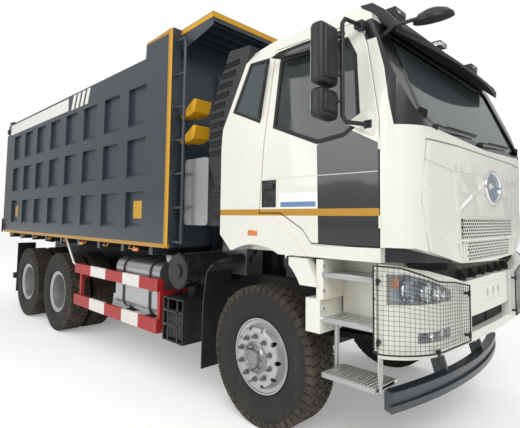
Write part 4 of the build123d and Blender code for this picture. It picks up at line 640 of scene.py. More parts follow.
def make_floor():
    """A wide pale floor that shows white to the camera and keeps the truck's shadow."""
    bm = bmesh.new()
    bmesh.ops.create_grid(bm, x_segments=1, y_segments=1, size=60.0)
    mesh = bpy.data.meshes.new("floor")
    bm.to_mesh(mesh)
    bm.free()
    floor = bpy.data.objects.new("floor", mesh)
    bpy.context.scene.collection.objects.link(floor)
    made, tree, shader, _ = new_material("floor", Roughness=0.9)
    shader.inputs["Base Color"].default_value = tint("#f2f2f0")
    path = wire(tree, "ShaderNodeLightPath").outputs
    seen = math_node(tree, "MAXIMUM", path["Is Camera Ray"], path["Is Glossy Ray"])
    shader.inputs["Emission Color"].default_value = (1, 1, 1, 1)
    tree.links.new(math_node(tree, "MULTIPLY", seen, 0.25), shader.inputs["Emission Strength"])
    mesh.materials.append(made)


class TRUCK_OT_stage(bpy.types.Operator):
    """Camera, pale floor, white surroundings and soft lamps"""
    bl_idname = "truck.stage"
    bl_label = "Stage"

    def execute(self, context):
        make_camera()
        make_floor()
        world = bpy.data.worlds.new("studio")
        context.scene.world = world
        world.use_nodes = True
        tree = world.node_tree
        back = tree.nodes["Background"]
        path = wire(tree, "ShaderNodeLightPath").outputs
        seen = math_node(tree, "MAXIMUM", path["Is Camera Ray"], path["Is Transmission Ray"])
        place = wire(tree, "ShaderNodeTexCoord").outputs["Generated"]
        height = wire(tree, "ShaderNodeSeparateXYZ", {0: place}).outputs["Z"]
        sky = spread(tree, height, -0.1, 0.8, 0.35, 0.85)
        strength = wire(tree, "ShaderNodeMix", {0: seen, 2: sky, 3: 1.0}, data_type="FLOAT").outputs[0]
        back.inputs["Color"].default_value = (1, 1, 1, 1)
        tree.links.new(strength, back.inputs["Strength"])
        for name, spot, aim, size, power in (("key", (9, -7, 8), (2, 0, 1.5), 6.0, 520.0),
                                             ("side", (-3, -12, 6), (0, 0, 1.5), 6.0, 380.0)):
            data = bpy.data.lights.new(name, "AREA")
            data.size = size
            data.energy = power
            lamp = bpy.data.objects.new(name, data)
            context.scene.collection.objects.link(lamp)
            lamp.location = Vector(spot)
            lamp.rotation_euler = (Vector(aim) - Vector(spot)).to_track_quat("-Z", "Y").to_euler()
        context.scene.view_settings.view_transform = "Standard"
        return {"FINISHED"}


DRESSED = {
    "cab_shell": ("cab_paint", 1.0), "door_right": ("door_paint", 0.8), "door_left": ("door_paint", 0.8),
    "sun_visor": ("black_plastic", 1.2),
    "intake_stack": ("black_plastic", 1.6), "entry_steps": ("cab_paint", 0.8), "load_body": ("body_paint", 1.6),
    "tailgate": ("body_paint", 1.6), "frame_rails": ("chassis_paint", 0.8), "fuel_tank": ("tank_alloy", 0.8),
    "oil_tank": ("tank_alloy", 1.0), "side_guards": ("guard_paint", 1.4), "air_filter": ("black_plastic", 1.0),
    "front_guards": ("body_paint", 3.0), "dashboard": ("interior", 3.0), "chocks": ("chock_yellow", 1.6),
    "engine": ("engine_iron", 4.0), "muffler": ("muffler_steel", 1.0), "mudguards": ("black_plastic", 0.6),
    "frame_crossmembers": ("chassis_paint", 0.8), "rear_bar": ("chassis_paint", 1.6),
}


class TRUCK_OT_panels(bpy.types.Operator):
    """Rounds the frame's panels and gives every solid its finish"""
    bl_idname = "truck.panels"
    bl_label = "Panels and finishes"

    def execute(self, context):
        for name, solid in NODES.items():
            solid.data.materials.clear()
            solid.data.materials.append(MATERIALS["side_glass" if "door_glass" in name else SLOTS[name]])
        radius = context.scene.truck_sizes.edge_radius
        for node, (finish, share) in DRESSED.items():
            dressed(node, finish, radius * share)
        return {"FINISHED"}


# ---------------------------------------------------------------- wheels
TREAD_TOP = 0.561
CARCASS = [(0.104, 0.264), (0.108, 0.300), (0.121, 0.311), (0.133, 0.330), (0.143, 0.365), (0.149, 0.410),
           (0.150, 0.436), (0.1485, 0.440), (0.1485, 0.448), (0.150, 0.452), (0.149, 0.475), (0.146, 0.480),
           (0.145, 0.492), (0.138, 0.512), (0.130, 0.527), (0.118, 0.540), (0.060, 0.5495), (0.0, 0.5505)]


def tyre_carcass():
    """A tyre's casing about the origin, with its bead, ribs and shoulders."""
    bm = bmesh.new()
    half = [(along, radius) for along, radius in CARCASS]
    turned(bm, half + [(-along, radius) for along, radius in reversed(half[:-1])], (0, 0, 0), closed=True,
           steps=88)
    return bm


def tread_block(bm, y, width, length, turn, lean=0.0, top=TREAD_TOP, foot=0.536):
    """One tapered block of tread at a turn round the tyre."""
    made = bmesh.ops.create_cube(bm, size=1.0)["verts"]
    for vert in made:
        upper = vert.co.z > 0
        share = 0.96 if upper else 1.06
        vert.co.x *= length * share
        vert.co.y *= width * (0.95 if upper else 1.06)
        vert.co.x += vert.co.y * lean
        vert.co.z = math.sqrt(max(0.0, (top if upper else foot) ** 2 - vert.co.x ** 2))
    bmesh.ops.translate(bm, verts=made, vec=(0, y, 0))
    bmesh.ops.rotate(bm, verts=made, cent=(0, 0, 0), matrix=Matrix.Rotation(turn, 3, "Y"))


def tyre_tread(pitches):
    """All the tread blocks of one tyre about the origin."""
    bm = bmesh.new()
    pitch = 2 * math.pi / pitches
    run = pitch * TREAD_TOP
    for side in (-1, 1):
        turn = pitch * 0.25 * side
        tread_block(bm, side * 0.094, 0.070, run * 0.84, turn, side * 0.22)
        tread_block(bm, side * 0.031, 0.052, run * 0.84, turn + pitch * 0.5, -side * 0.5)
        # buttress running down the shoulder
        made = bmesh.ops.create_cube(bm, size=1.0)["verts"]
        for vert in made:
            low = vert.co.z < 0
            vert.co.x *= run * (0.62 if low else 0.78)
            vert.co.y = side * ((0.147 if vert.co.y * side > 0 else 0.130) if low else
                                (0.132 if vert.co.y * side > 0 else 0.112))
            vert.co.z = 0.497 if low else 0.551
        bmesh.ops.rotate(bm, verts=made, cent=(0, 0, 0), matrix=Matrix.Rotation(turn, 3, "Y"))
    copies_round(bm, (0, 0, 0), (0, 1, 0), pitches)
    return bm


def stub(bm, place, radius, tip, depth, sides):
    """A short bar or cone along Y."""
    bmesh.ops.create_cone(bm, cap_ends=True, segments=sides, radius1=radius, radius2=tip, depth=depth,
                          matrix=Matrix.Translation(place) @ Matrix.Rotation(math.pi / 2, 4, "X"))


# profiles as (along Y, radius)
BARREL = [(-0.1223, 0.2975), (-0.1195, 0.2985), (-0.1095, 0.292), (-0.1075, 0.2617), (0.1075, 0.2617),
          (0.1095, 0.292), (0.1195, 0.2985), (0.1223, 0.2975), (0.1215, 0.288), (0.112, 0.281), (0.106, 0.250),
          (0.02, 0.246), (-0.05, 0.246), (-0.106, 0.250), (-0.112, 0.281), (-0.1215, 0.288)]
REAR_FACE = [(0.161, 0.058), (0.160, 0.205), (0.154, 0.222), (0.130, 0.236), (0.085, 0.246), (0.060, 0.250),
             (0.075, 0.252), (0.135, 0.246), (0.165, 0.230), (0.1745, 0.205), (0.175, 0.058)]
FRONT_FACE = [(-along, radius) for along, radius in REAR_FACE]
HAND_HOLE_RING = 0.2265
NUT_RING = 0.1675


def wheel_rim(face, hole_place):
    """A disc wheel about the origin, outside towards -Y, with its ring of hand holes."""
    bm = bmesh.new()
    turned(bm, BARREL, (0, 0, 0), closed=True, steps=80)
    turned(bm, face, (0, 0, 0), closed=True, steps=80)
    bmesh.ops.recalc_face_normals(bm, faces=bm.faces)
    mesh = bpy.data.meshes.new("rim")
    bm.to_mesh(mesh)
    bm.free()
    cut = bmesh.new()
    for number in range(10):
        turn = (number + 0.5) * math.pi / 5
        place = Vector((HAND_HOLE_RING * math.sin(turn), hole_place, HAND_HOLE_RING * math.cos(turn)))
        stub(cut, place, 0.019, 0.019, 0.13, 20)
    rim = bpy.data.objects.new("rim", mesh)
    bpy.context.scene.collection.objects.link(rim)
    carve(rim, cut)
    made = bmesh.new()
    made.from_mesh(rim.data)
    bpy.data.objects.remove(rim)
    return made


def hub_and_nuts(nuts, face, knee, end, wide, slim):
    """Hub, cap with its bolts, and the wheel nuts with washers and stud ends; outside towards -Y."""
    bm = bmesh.new()
    turned(bm, [(face + 0.01, 0.0), (face + 0.01, wide + 0.022), (face - 0.004, wide + 0.022),
                (face - 0.010, wide + 0.004), (knee + 0.01, wide), (knee, wide - 0.008), (knee - 0.003, slim + 0.006),
                (end + 0.012, slim), (end + 0.003, slim - 0.005), (end, slim - 0.016), (end, slim - 0.030),
                (end + 0.006, slim - 0.034), (end + 0.006, 0.0)], (0, 0, 0), steps=56)
    for number in range(8):
        turn = number * math.pi / 4
        place = Vector(((wide - 0.014) * math.sin(turn), knee - 0.006, (wide - 0.014) * math.cos(turn)))
        stub(bm, place, 0.009, 0.008, 0.018, 6)
    for number in range(nuts):
        turn = number * 2 * math.pi / nuts
        across = Vector((math.sin(turn), 0, math.cos(turn))) * NUT_RING
        for radius, tip, depth, sides in ((0.0225, 0.0215, 0.006, 16), (0.017, 0.016, 0.030, 6),
                                          (0.0105, 0.0095, 0.044, 10)):
            place = across + Vector((0, face - 0.004 - depth / 2, 0))
            stub(bm, place, radius, tip, depth, sides)
    return bm


class TRUCK_OT_wheels(bpy.types.Operator):
    """Tyres with blocks and ribs, disc wheels with hand holes, hubs and nuts"""
    bl_idname = "truck.wheels"
    bl_label = "Wheels"

    def execute(self, context):
        sizes = context.scene.truck_sizes
        shapes = {"casing": tyre_carcass(), "tread": tyre_tread(sizes.tread_pitches),
                  "front_rim": wheel_rim(FRONT_FACE, -0.137), "rear_rim": wheel_rim(REAR_FACE, 0.137),
                  "front_hub": hub_and_nuts(sizes.studs, -0.175, -0.200, -0.235, 0.105, 0.075),
                  "rear_hub": hub_and_nuts(sizes.studs, -0.014, -0.075, -0.120, 0.118, 0.088)}
        meshes = {}
        for word, bm in shapes.items():
            meshes[word] = bpy.data.meshes.new(word)
            bm.to_mesh(meshes[word])
            bm.free()

        def fit(name, body, finish, node, places, smooth=40.0):
            """One piece made of copies of the shapes, each at (shape, x, y, flipped)."""
            bm = bmesh.new()
            for word, x, y, flipped in places:
                before = set(bm.verts)
                bm.from_mesh(meshes[word])
                added = [vert for vert in bm.verts if vert not in before]
                if flipped:
                    bmesh.ops.scale(bm, verts=added, vec=(1, -1, 1))
                bmesh.ops.translate(bm, verts=added, vec=(x, y, AXLE_Z))
            made = keep(bm, name, body, finish, smooth, 0.0)
            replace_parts(made, node)

        for side, sign in SIDES:
            body = "front_wheel_" + side
            x, y = middle("front_tyre_" + side)[0], middle("front_tyre_" + side)[1]
            left = sign > 0
            fit("front_casing_" + side, body, "tyre", "front_tyre_" + side, [("casing", x, y, left)])
            fit("front_tread_" + side, body, "tread", "front_tyre_" + side, [("tread", x, y, left)], 30.0)
            fit("front_disc_" + side, body, "rim_alloy", "front_rim_" + side, [("front_rim", x, y, left)])
            fit("front_hub_" + side, body, "bolt", "front_rim_" + side, [("front_hub", x, y, left)], 30.0)
            for number in (1, 2):
                tail = f"{number}_{side}"
                body = "rear_wheels_" + tail
                x, y = middle("rear_tyres_" + tail)[0], middle("rear_tyres_" + tail)[1]
                pair = (y - 0.175, y + 0.175)
                outer, inner = (pair[1], pair[0]) if left else pair
                fit("rear_casings_" + tail, body, "tyre", "rear_tyres_" + tail,
                    [("casing", x, spot, left) for spot in pair])
                fit("rear_treads_" + tail, body, "tread", "rear_tyres_" + tail,
                    [("tread", x, spot, left) for spot in pair], 30.0)
                fit("rear_discs_" + tail, body, "rim_alloy", "rear_rims_" + tail,
                    [("rear_rim", x, outer, left), ("rear_rim", x, inner, not left)])
                fit("rear_hubs_" + tail, body, "bolt", "rear_rims_" + tail, [("rear_hub", x, y, left)], 30.0)
        return {"FINISHED"}


# ---------------------------------------------------------------- cab front
def arc(first, through, last, count):
    """Points along the circle through three points in plan."""
    (ax, ay), (bx, by), (cx, cy) = first, through, last
    d = 2 * (ax * (by - cy) + bx * (cy - ay) + cx * (ay - by))
    ux = ((ax ** 2 + ay ** 2) * (by - cy) + (bx ** 2 + by ** 2) * (cy - ay) + (cx ** 2 + cy ** 2) * (ay - by)) / d
    uy = ((ax ** 2 + ay ** 2) * (cx - bx) + (bx ** 2 + by ** 2) * (ax - cx) + (cx ** 2 + cy ** 2) * (bx - ax)) / d
    radius = math.hypot(ax - ux, ay - uy)
    start, end = math.atan2(ay - uy, ax - ux), math.atan2(cy - uy, cx - ux)
    return [(ux + radius * math.cos(start + (end - start) * k / count),
             uy + radius * math.sin(start + (end - start) * k / count)) for k in range(count + 1)]


def table(points, place):
    """A number, or the value read off (place, value) points at a place."""
    if not isinstance(points, tuple):
        return points
    for (a, low), (b, high) in zip(points, points[1:]):
        if place <= b:
            return low + (high - low) * max(0.0, place - a) / (b - a)
    return points[-1][1]


class Path:
    """A line in plan that can be asked for the point at a share of its length."""

    def __init__(self, points):
        self.points = points
        self.runs = [0.0]
        for (ax, ay), (bx, by) in zip(points, points[1:]):
            self.runs.append(self.runs[-1] + math.hypot(bx - ax, by - ay))

    def at(self, share):
        """The point a share of the way along."""
        run = min(max(share, 0.0), 1.0) * self.runs[-1]
        for k in range(len(self.points) - 1):
            if run <= self.runs[k + 1] + 1e-9:
                part = (run - self.runs[k]) / (self.runs[k + 1] - self.runs[k])
                (ax, ay), (bx, by) = self.points[k], self.points[k + 1]
                return ax + (bx - ax) * part, ay + (by - ay) * part
        return self.points[-1]

    def share_at(self, y):
        """The share of the way along at which the line first reaches a y nearer the middle."""
        for k, (point, after) in enumerate(zip(self.points, self.points[1:])):
            if abs(after[1]) <= abs(y):
                part = (abs(point[1]) - abs(y)) / max(1e-6, abs(point[1]) - abs(after[1]))
                return (self.runs[k] + part * (self.runs[k + 1] - self.runs[k])) / self.runs[-1]
        return 1.0

    def share_ahead(self, x):
        """The share of the way along at which the line first gets as far ahead as x."""
        for k, (point, after) in enumerate(zip(self.points, self.points[1:])):
            if after[0] >= x:
                part = max(0.0, x - point[0]) / max(1e-6, after[0] - point[0])
                return (self.runs[k] + part * (self.runs[k + 1] - self.runs[k])) / self.runs[-1]
        return 0.0


def cab_path(inset):
    """The cab's right half in plan, low at the nose, a distance in from its skin."""
    side, tip = 1.240 - inset, (1.385 - inset, -0.985 + inset / 2)
    corner = arc((1.090, -side), (1.295 - 0.6 * inset, -side + 0.062 + 0.15 * inset), tip, 14)
    return Path(corner + arc(tip, (1.440 - inset, 0.0), (tip[0], -tip[1]), 28)[1:15])


def bumper_path(reach, rear=1.17, inner=0.0):
    """The bumper's right half in plan, from its side to the middle, a distance out from its face."""
    corner = arc((1.170, -1.235 - reach), (1.322 + 0.7 * reach, -1.090 - 0.7 * reach), (1.385 + reach, -0.860), 14)
    face = arc((1.385 + reach, -0.860), (1.415 + reach, -0.43), (1.425 + reach, 0.0), 14)
    lead = [(rear, -1.235 - reach)] if rear < 1.169 else []
    return Path([point for point in lead + corner + face[1:] if abs(point[1]) >= inner - 1e-6])


def curved_plate(bm, path, shares, low, high, columns=20, rows=4, thick=0.003):
    """A plate that follows a path in plan; its edges' heights are numbers or tables by distance from the middle."""
    made = bmesh.ops.create_grid(bm, x_segments=columns, y_segments=rows, size=0.5)["verts"]
    for vert in made:
        x, y = path.at(shares[0] + (shares[1] - shares[0]) * (vert.co.x + 0.5))
        foot, top = table(low, abs(y)), table(high, abs(y))
        vert.co = (ahead(x), y, foot + (top - foot) * (vert.co.y + 0.5))
    faces = list({face for vert in made for face in vert.link_faces})
    bmesh.ops.recalc_face_normals(bm, faces=faces)
    if thick:
        bmesh.ops.solidify(bm, geom=faces, thickness=thick)


def recess(bm, skin, spot, depth):
    """A cutter that sinks a patch of a surface seen from in front; spot(u, v) gives the y and z."""
    made = bmesh.ops.create_grid(bm, x_segments=18, y_segments=8, size=0.5)["verts"]
    for vert in made:
        y, z = spot(vert.co.x + 0.5, vert.co.y + 0.5)
        vert.co = (ahead(front_of(skin, y, z) - depth), y, z)
    faces = list({face for vert in made for face in vert.link_faces})
    raised = bmesh.ops.extrude_face_region(bm, geom=faces)["geom"]
    bmesh.ops.translate(bm, verts=[item for item in raised if isinstance(item, bmesh.types.BMVert)],
                        vec=(depth + 0.03, 0, 0))


def bowl(bm, place, radius, depth):
    """A lamp's reflector: a shallow dish with a bulb in it."""
    centre = Vector((ahead(place[0]), place[1], place[2]))
    rings = [(-depth * (1 - (k / 8) ** 2), radius * k / 8) for k in range(1, 9)]
    turned(bm, rings + [(0.004, radius + 0.006), (-0.004, radius + 0.006)], centre, FORWARD, 32)
    turned(bm, [(-depth, 0.012), (-depth * 0.45, 0.012), (-depth * 0.35, 0.006), (-depth * 0.35, 0.0005)],
           centre, FORWARD, 12)


class TRUCK_OT_lamps(bpy.types.Operator):
    """Headlamps and fog lamps: clear covers over reflectors, with amber indicators"""
    bl_idname = "truck.lamps"
    bl_label = "Lamps"

    def execute(self, context):
        face, inside, back = bumper_path(-0.003), bumper_path(-0.016), bumper_path(-0.062)
        shapes = {word: bmesh.new() for word in ("cover", "reflector", "indicator", "housing")}
        rise = ((0.757, 1.210), (0.897, 1.262), (1.026, 1.301), (1.155, 1.336), (1.26, 1.346))
        ends = (face.share_ahead(1.182), face.share_at(0.758))
        curved_plate(shapes["cover"], face, ends, 1.154, rise, 30)
        curved_plate(shapes["housing"], back, (back.share_ahead(1.176), back.share_at(0.757)), 1.154, rise, 30,
                     thick=0.002)
        for y, z, radius in ((-0.815, 1.186, 0.028), (-0.900, 1.203, 0.044), (-1.005, 1.219, 0.060),
                             (-1.118, 1.240, 0.074)):
            x = inside.at(inside.share_at(abs(y)))[0]
            bowl(shapes["reflector"], (x - 0.012, y, z), radius, 0.04)
        curved_plate(shapes["indicator"], inside, (inside.share_ahead(1.198), inside.share_ahead(1.236)),
                     1.250, 1.315, 8, 6, 0.006)
        curved_plate(shapes["cover"], face, (face.share_at(1.092), face.share_at(0.783)), 0.920, 0.980)
        x = inside.at(inside.share_at(0.97))[0]
        bowl(shapes["reflector"], (x - 0.01, -0.97, 0.950), 0.028, 0.03)
        bowl(shapes["reflector"], (inside.at(inside.share_at(0.86))[0] - 0.006, -0.86, 0.950), 0.024, 0.02)
        curved_plate(shapes["housing"], back, (back.share_at(1.090), back.share_at(0.785)), 0.921, 0.979,
                     thick=0.002)
        finishes = {"cover": "clear_lens", "reflector": "chrome", "indicator": "amber", "housing": "lamp_shell"}
        for word, bm in shapes.items():
            with_mirror(bm)
            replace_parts(keep(bm, "lamp_" + word, "chassis", finishes[word], 45.0), "lamps")
        return {"FINISHED"}


GUARD_FOOT = 0.859                          # height of the guards' lower edge
GUARD_FRAME = 0.0055                        # radius of their edge bars


class TRUCK_OT_lamp_guards(bpy.types.Operator):
    """Wire guards over the lamps, following the bumper's corners"""
    bl_idname = "truck.lamp_guards"
    bl_label = "Lamp guards"

    def execute(self, context):
        sizes = context.scene.truck_sizes
        path = bumper_path(0.032, 1.115, 0.55)
        edge_line = ((0.55, 1.230), (0.57, 1.232), (0.774, 1.270), (0.9, 1.282), (0.98, 1.293), (1.04, 1.316),
                     (1.155, 1.360), (1.20, 1.379), (1.267, 1.388))
        top = lambda u: table(edge_line, abs(path.at(u)[1]))
        low = GUARD_FOOT
        bm = bmesh.new()
        for column in range(sizes.guard_columns + 1):
            u = column / sizes.guard_columns
            x, y = path.at(u)
            edge = column in (0, sizes.guard_columns)
            tube(bm, [(x, y, low), (x, y, top(u))], GUARD_FRAME if edge else sizes.guard_wire, 8 if edge else 4)
        for row in range(sizes.guard_rows + 1):
            v = row / sizes.guard_rows
            edge = row in (0, sizes.guard_rows)
            line = [(*path.at(k / 36), low + (top(k / 36) - low) * v) for k in range(37)]
            tube(bm, line, GUARD_FRAME if edge else sizes.guard_wire, 8 if edge else 4)
        # clips to the bumper
        near = bumper_path(-0.01, 1.115, 0.55)
        for u, v in ((0.03, 0.82), (0.03, 0.12), (0.985, 0.85), (0.985, 0.10), (0.5, 0.0)):
            x, y = path.at(u)
            nx, ny = near.at(u)
            z = low + (top(u) - low) * v
            rod(bm, (nx, ny, z), (x, y, z), 0.009)
            slab(bm, (x - 0.006, x + 0.010), (y - 0.012, y + 0.012), (z - 0.020, z + 0.020), 0.003)
        with_mirror(bm)
        keep(bm, "lamp_guard_wires", "chassis", "wire_black", 50.0)
        return {"FINISHED"}


PANEL_OUTER, PANEL_INNER = 1.13, 0.655      # the y between which the lid's side panels lie
GRILLE_WIDTH = 1.19
BADGE_Z = 1.935


class TRUCK_OT_front(bpy.types.Operator):
    """Front lid, grille sheets, bare badge ring, bumper, painted shade in the nose and the bumper's openings, glass
    border and wipers
    """
    bl_idname = "truck.front"
    bl_label = "Cab front"

    def execute(self, context):
        skin, nose = skin_of("front_lid", "cab_shell", "cab_glass"), skin_of("bumper")
        radius = context.scene.truck_sizes.edge_radius
        # the lid: sunken side panels, then the grooves that part its middle
        inner = ((1.389, 0.629), (1.694, 0.646), (1.864, 0.665), (2.013, 0.686), (2.10, 0.695))
        foot = ((0.60, 1.504), (0.70, 1.522), (0.917, 1.564), (1.076, 1.594), (1.13, 1.604))
        head = ((0.60, 2.000), (0.732, 2.017), (0.977, 2.049), (1.063, 2.056), (1.13, 2.060))
        lid = dressed("front_lid", "cab_paint", 0.0)
        cut = bmesh.new()
        for side in (-1, 1):
            def side_panel(u, v):
                y = PANEL_OUTER + (PANEL_INNER - PANEL_OUTER) * u
                z = table(foot, y) + (table(head, y) - table(foot, y)) * v
                return side * (PANEL_OUTER + (table(inner, z) + 0.012 - PANEL_OUTER) * u), z

            recess(cut, skin, side_panel, 0.007)
        carve(lid, cut)
        cut = bmesh.new()
        for z in (1.70, 1.865, 2.01):
            half = table(inner, z)
            line = [half * k / 12 for k in range(-12, 13)]
            tube(cut, [(front_of(skin, y, z), y, z) for y in line], 0.0032, 8)
        for side in (-1, 1):
            line = [1.375 + (2.012 - 1.375) * k / 16 for k in range(17)]
            tube(cut, [(front_of(skin, side * table(inner, z), z), side * table(inner, z), z) for z in line],
                 0.0030, 8)
        carve(lid, cut)
        soften(lid, radius * 0.5, 2, 40.0)
        # perforated sheets in the lid's two sunken strips, with a near-black sheet behind each as painted shade of
        # the space behind the grille
        sheets, dark = bmesh.new(), bmesh.new()
        rows, columns = 6, 34
        for low, high in ((1.392, 1.524), (1.546, 1.684)):
            front = [[front_of(skin, (k / 20 - 0.5) * GRILLE_WIDTH, z) for k in range(21)]
                     for z in (low - 0.012, high + 0.012)]

            def lie(u, v, sink):
                place = min(max(u, 0.0), 1.0) * 20
                k = min(int(place), 19)
                lower, upper = [line[k] + (line[k + 1] - line[k]) * (place - k) for line in front]
                return Vector((ahead(lower + (upper - lower) * v - sink), (u - 0.5) * GRILLE_WIDTH,
                               low + (high - low) * v))

            for row in range(rows):
                odd = row % 2
                part = bmesh.new()
                sieve(part, columns - odd, 1, lambda u, v: lie((u * (columns - odd) + odd / 2) / columns,
                                                               (row + v) / rows, 0.0035), 0.15, 0.40)
                join_in(sheets, part)
            # near-black sheet behind the strip: painted shade of the space behind the grille
            made = bmesh.ops.create_grid(dark, x_segments=30, y_segments=2, size=0.5)["verts"]
            for vert in made:
                vert.co = lie(vert.co.x + 0.5, vert.co.y + 0.5, 0.0088)
        keep(sheets, "grille_sheets", "front_lid", "cab_paint", 30.0)
        bmesh.ops.solidify(dark, geom=dark.faces[:], thickness=0.001)
        keep(dark, "grille_shade_sheet", "front_lid", "painted_shade_black")
        # bare oval ring where a badge would be
        bm = bmesh.new()
        ring = []
        for k in range(48):
            turn = 2 * math.pi * k / 48
            y, z = 0.174 * math.cos(turn), BADGE_Z + 0.123 * math.sin(turn)
            ring.append((front_of(skin, y, z) + 0.006, y, z))
        tube(bm, ring, 0.015, 16, closed=True)
        keep(bm, "badge_ring", "front_lid", "chrome", 60.0)
        bm = bmesh.new()
        made = bmesh.ops.create_circle(bm, cap_ends=True, segments=40, radius=1.0)["verts"]
        for vert in made:
            y, z = vert.co.x * 0.166, BADGE_Z + vert.co.y * 0.115
            vert.co = (ahead(front_of(skin, y, z) + 0.0025), y, z)
        keep(bm, "badge_disc", "front_lid", "lamp_shell")
        # the bumper with the groove round its three holes, and two round buttons a side
        bumper = dressed("bumper", "cab_paint", 0.0)
        cut = bmesh.new()
        frame_line = [(y * 0.075, 1.08) for y in range(-3, 3)] + [(0.225, 1.08), (0.225, 1.205)]
        frame_line += [(y * 0.075, 1.205) for y in range(2, -4, -1)]
        tube(cut, [(front_of(nose, y, z), y, z) for y, z in frame_line], 0.0028, 8, closed=True)
        carve(bumper, cut)
        soften(bumper, radius, 2, 40.0)
        bm = bmesh.new()
        for z in (1.18, 0.905):
            x = front_of(nose, -0.5, z)
            turned(bm, [(-0.004, 0.017), (0.003, 0.017), (0.006, 0.012), (0.006, 0.0005)],
                   (ahead(x), -0.5, z), FORWARD, 24)
        with_mirror(bm)
        keep(bm, "bumper_buttons", "chassis", "blank_plate", 40.0)
        # black plate set back in the gap under the cab's nose as painted shade of that gap, near-black sheets behind
        # the bumper's mouth, slot and holes as painted shade, and upright fins
        bm = bmesh.new()
        path = cab_path(0.044)
        low = ((0.66, 1.380), (0.80, 1.396), (1.10, 1.408))
        high = ((0.64, 1.393), (1.056, 1.474), (1.14, 1.498), (1.4, 1.502))
        curved_plate(bm, path, (path.share_ahead(1.155), path.share_at(0.66)), low, high, 24, 3)
        with_mirror(bm)
        # the black plate stands in for the shade in the gap under the nose: painted shade
        keep(bm, "nose_shade_band", "cab", "black_plastic", 40.0)
        # near-black sheets behind the bumper's mouth, slot and holes are painted shade of the hollows; the upright
        # fins are real and share the same near-black
        bm = bmesh.new()
        path = bumper_path(-0.066)
        rim = ((0, 1.325), (0.56, 1.33), (0.86, 1.342), (1.0, 1.35), (1.1, 1.368), (1.17, 1.385))
        curved_plate(bm, path, (0.0, 1.0), 1.22, rim, 40, 3)
        path = bumper_path(-0.0625)
        for half, bottom, top in ((0.48, 0.875, 1.015), (0.18, 1.085, 1.175)):
            curved_plate(bm, path, (path.share_at(half), 1.0), bottom, top, 12, 1)
        for y in (-0.50, -0.30, -0.10):
            prism(bm, [(1.335, 1.255), (1.398, 1.255), (1.400, 1.292), (1.362, 1.322), (1.335, 1.322)], "Y",
                  y - 0.005, y + 0.005, 0.0015, 1)
        with_mirror(bm)
        keep(bm, "front_fins_and_shade_sheets", "chassis", "painted_shade_black", 30.0)
        # black border of the windscreen, and the wipers
        pane_border("cab_glass", "screen_border", "cab", FORWARD, 0.062, 0.0018, "frit")
        bm = bmesh.new()
        for y0, y1, tip in ((-0.93, -0.12, 0.045), (-0.05, 0.78, 0.06)):
            root = (front_of(skin, y0, 2.285) + 0.006, y0, 2.275)
            turned(bm, [(-0.006, 0.001), (-0.006, 0.024), (0.020, 0.020), (0.026, 0.010), (0.026, 0.0005)],
                   (ahead(root[0]), root[1], root[2]), (1, 0, 0.25), 20)
            line = []
            for k in range(9):
                y = y0 + (y1 - y0) * k / 8
                z = 2.280 + tip * (k / 8) + 0.010
                line.append((front_of(skin, y, z) + 0.034 - 0.016 * (k / 8), y, z))
            tube(bm, line, 0.0065, 8)
            blade = []
            for k in range(13):
                y = y0 + (y1 - y0) * (0.34 + 0.78 * k / 12)
                z = 2.300 + tip * (0.30 + 0.75 * k / 12) + 0.016
                blade.append((front_of(skin, y, z) + 0.009, y, z))
            tube(bm, blade, 0.005, 6)
        keep(bm, "wipers", "cab", "rubber", 40.0)
        return {"FINISHED"}


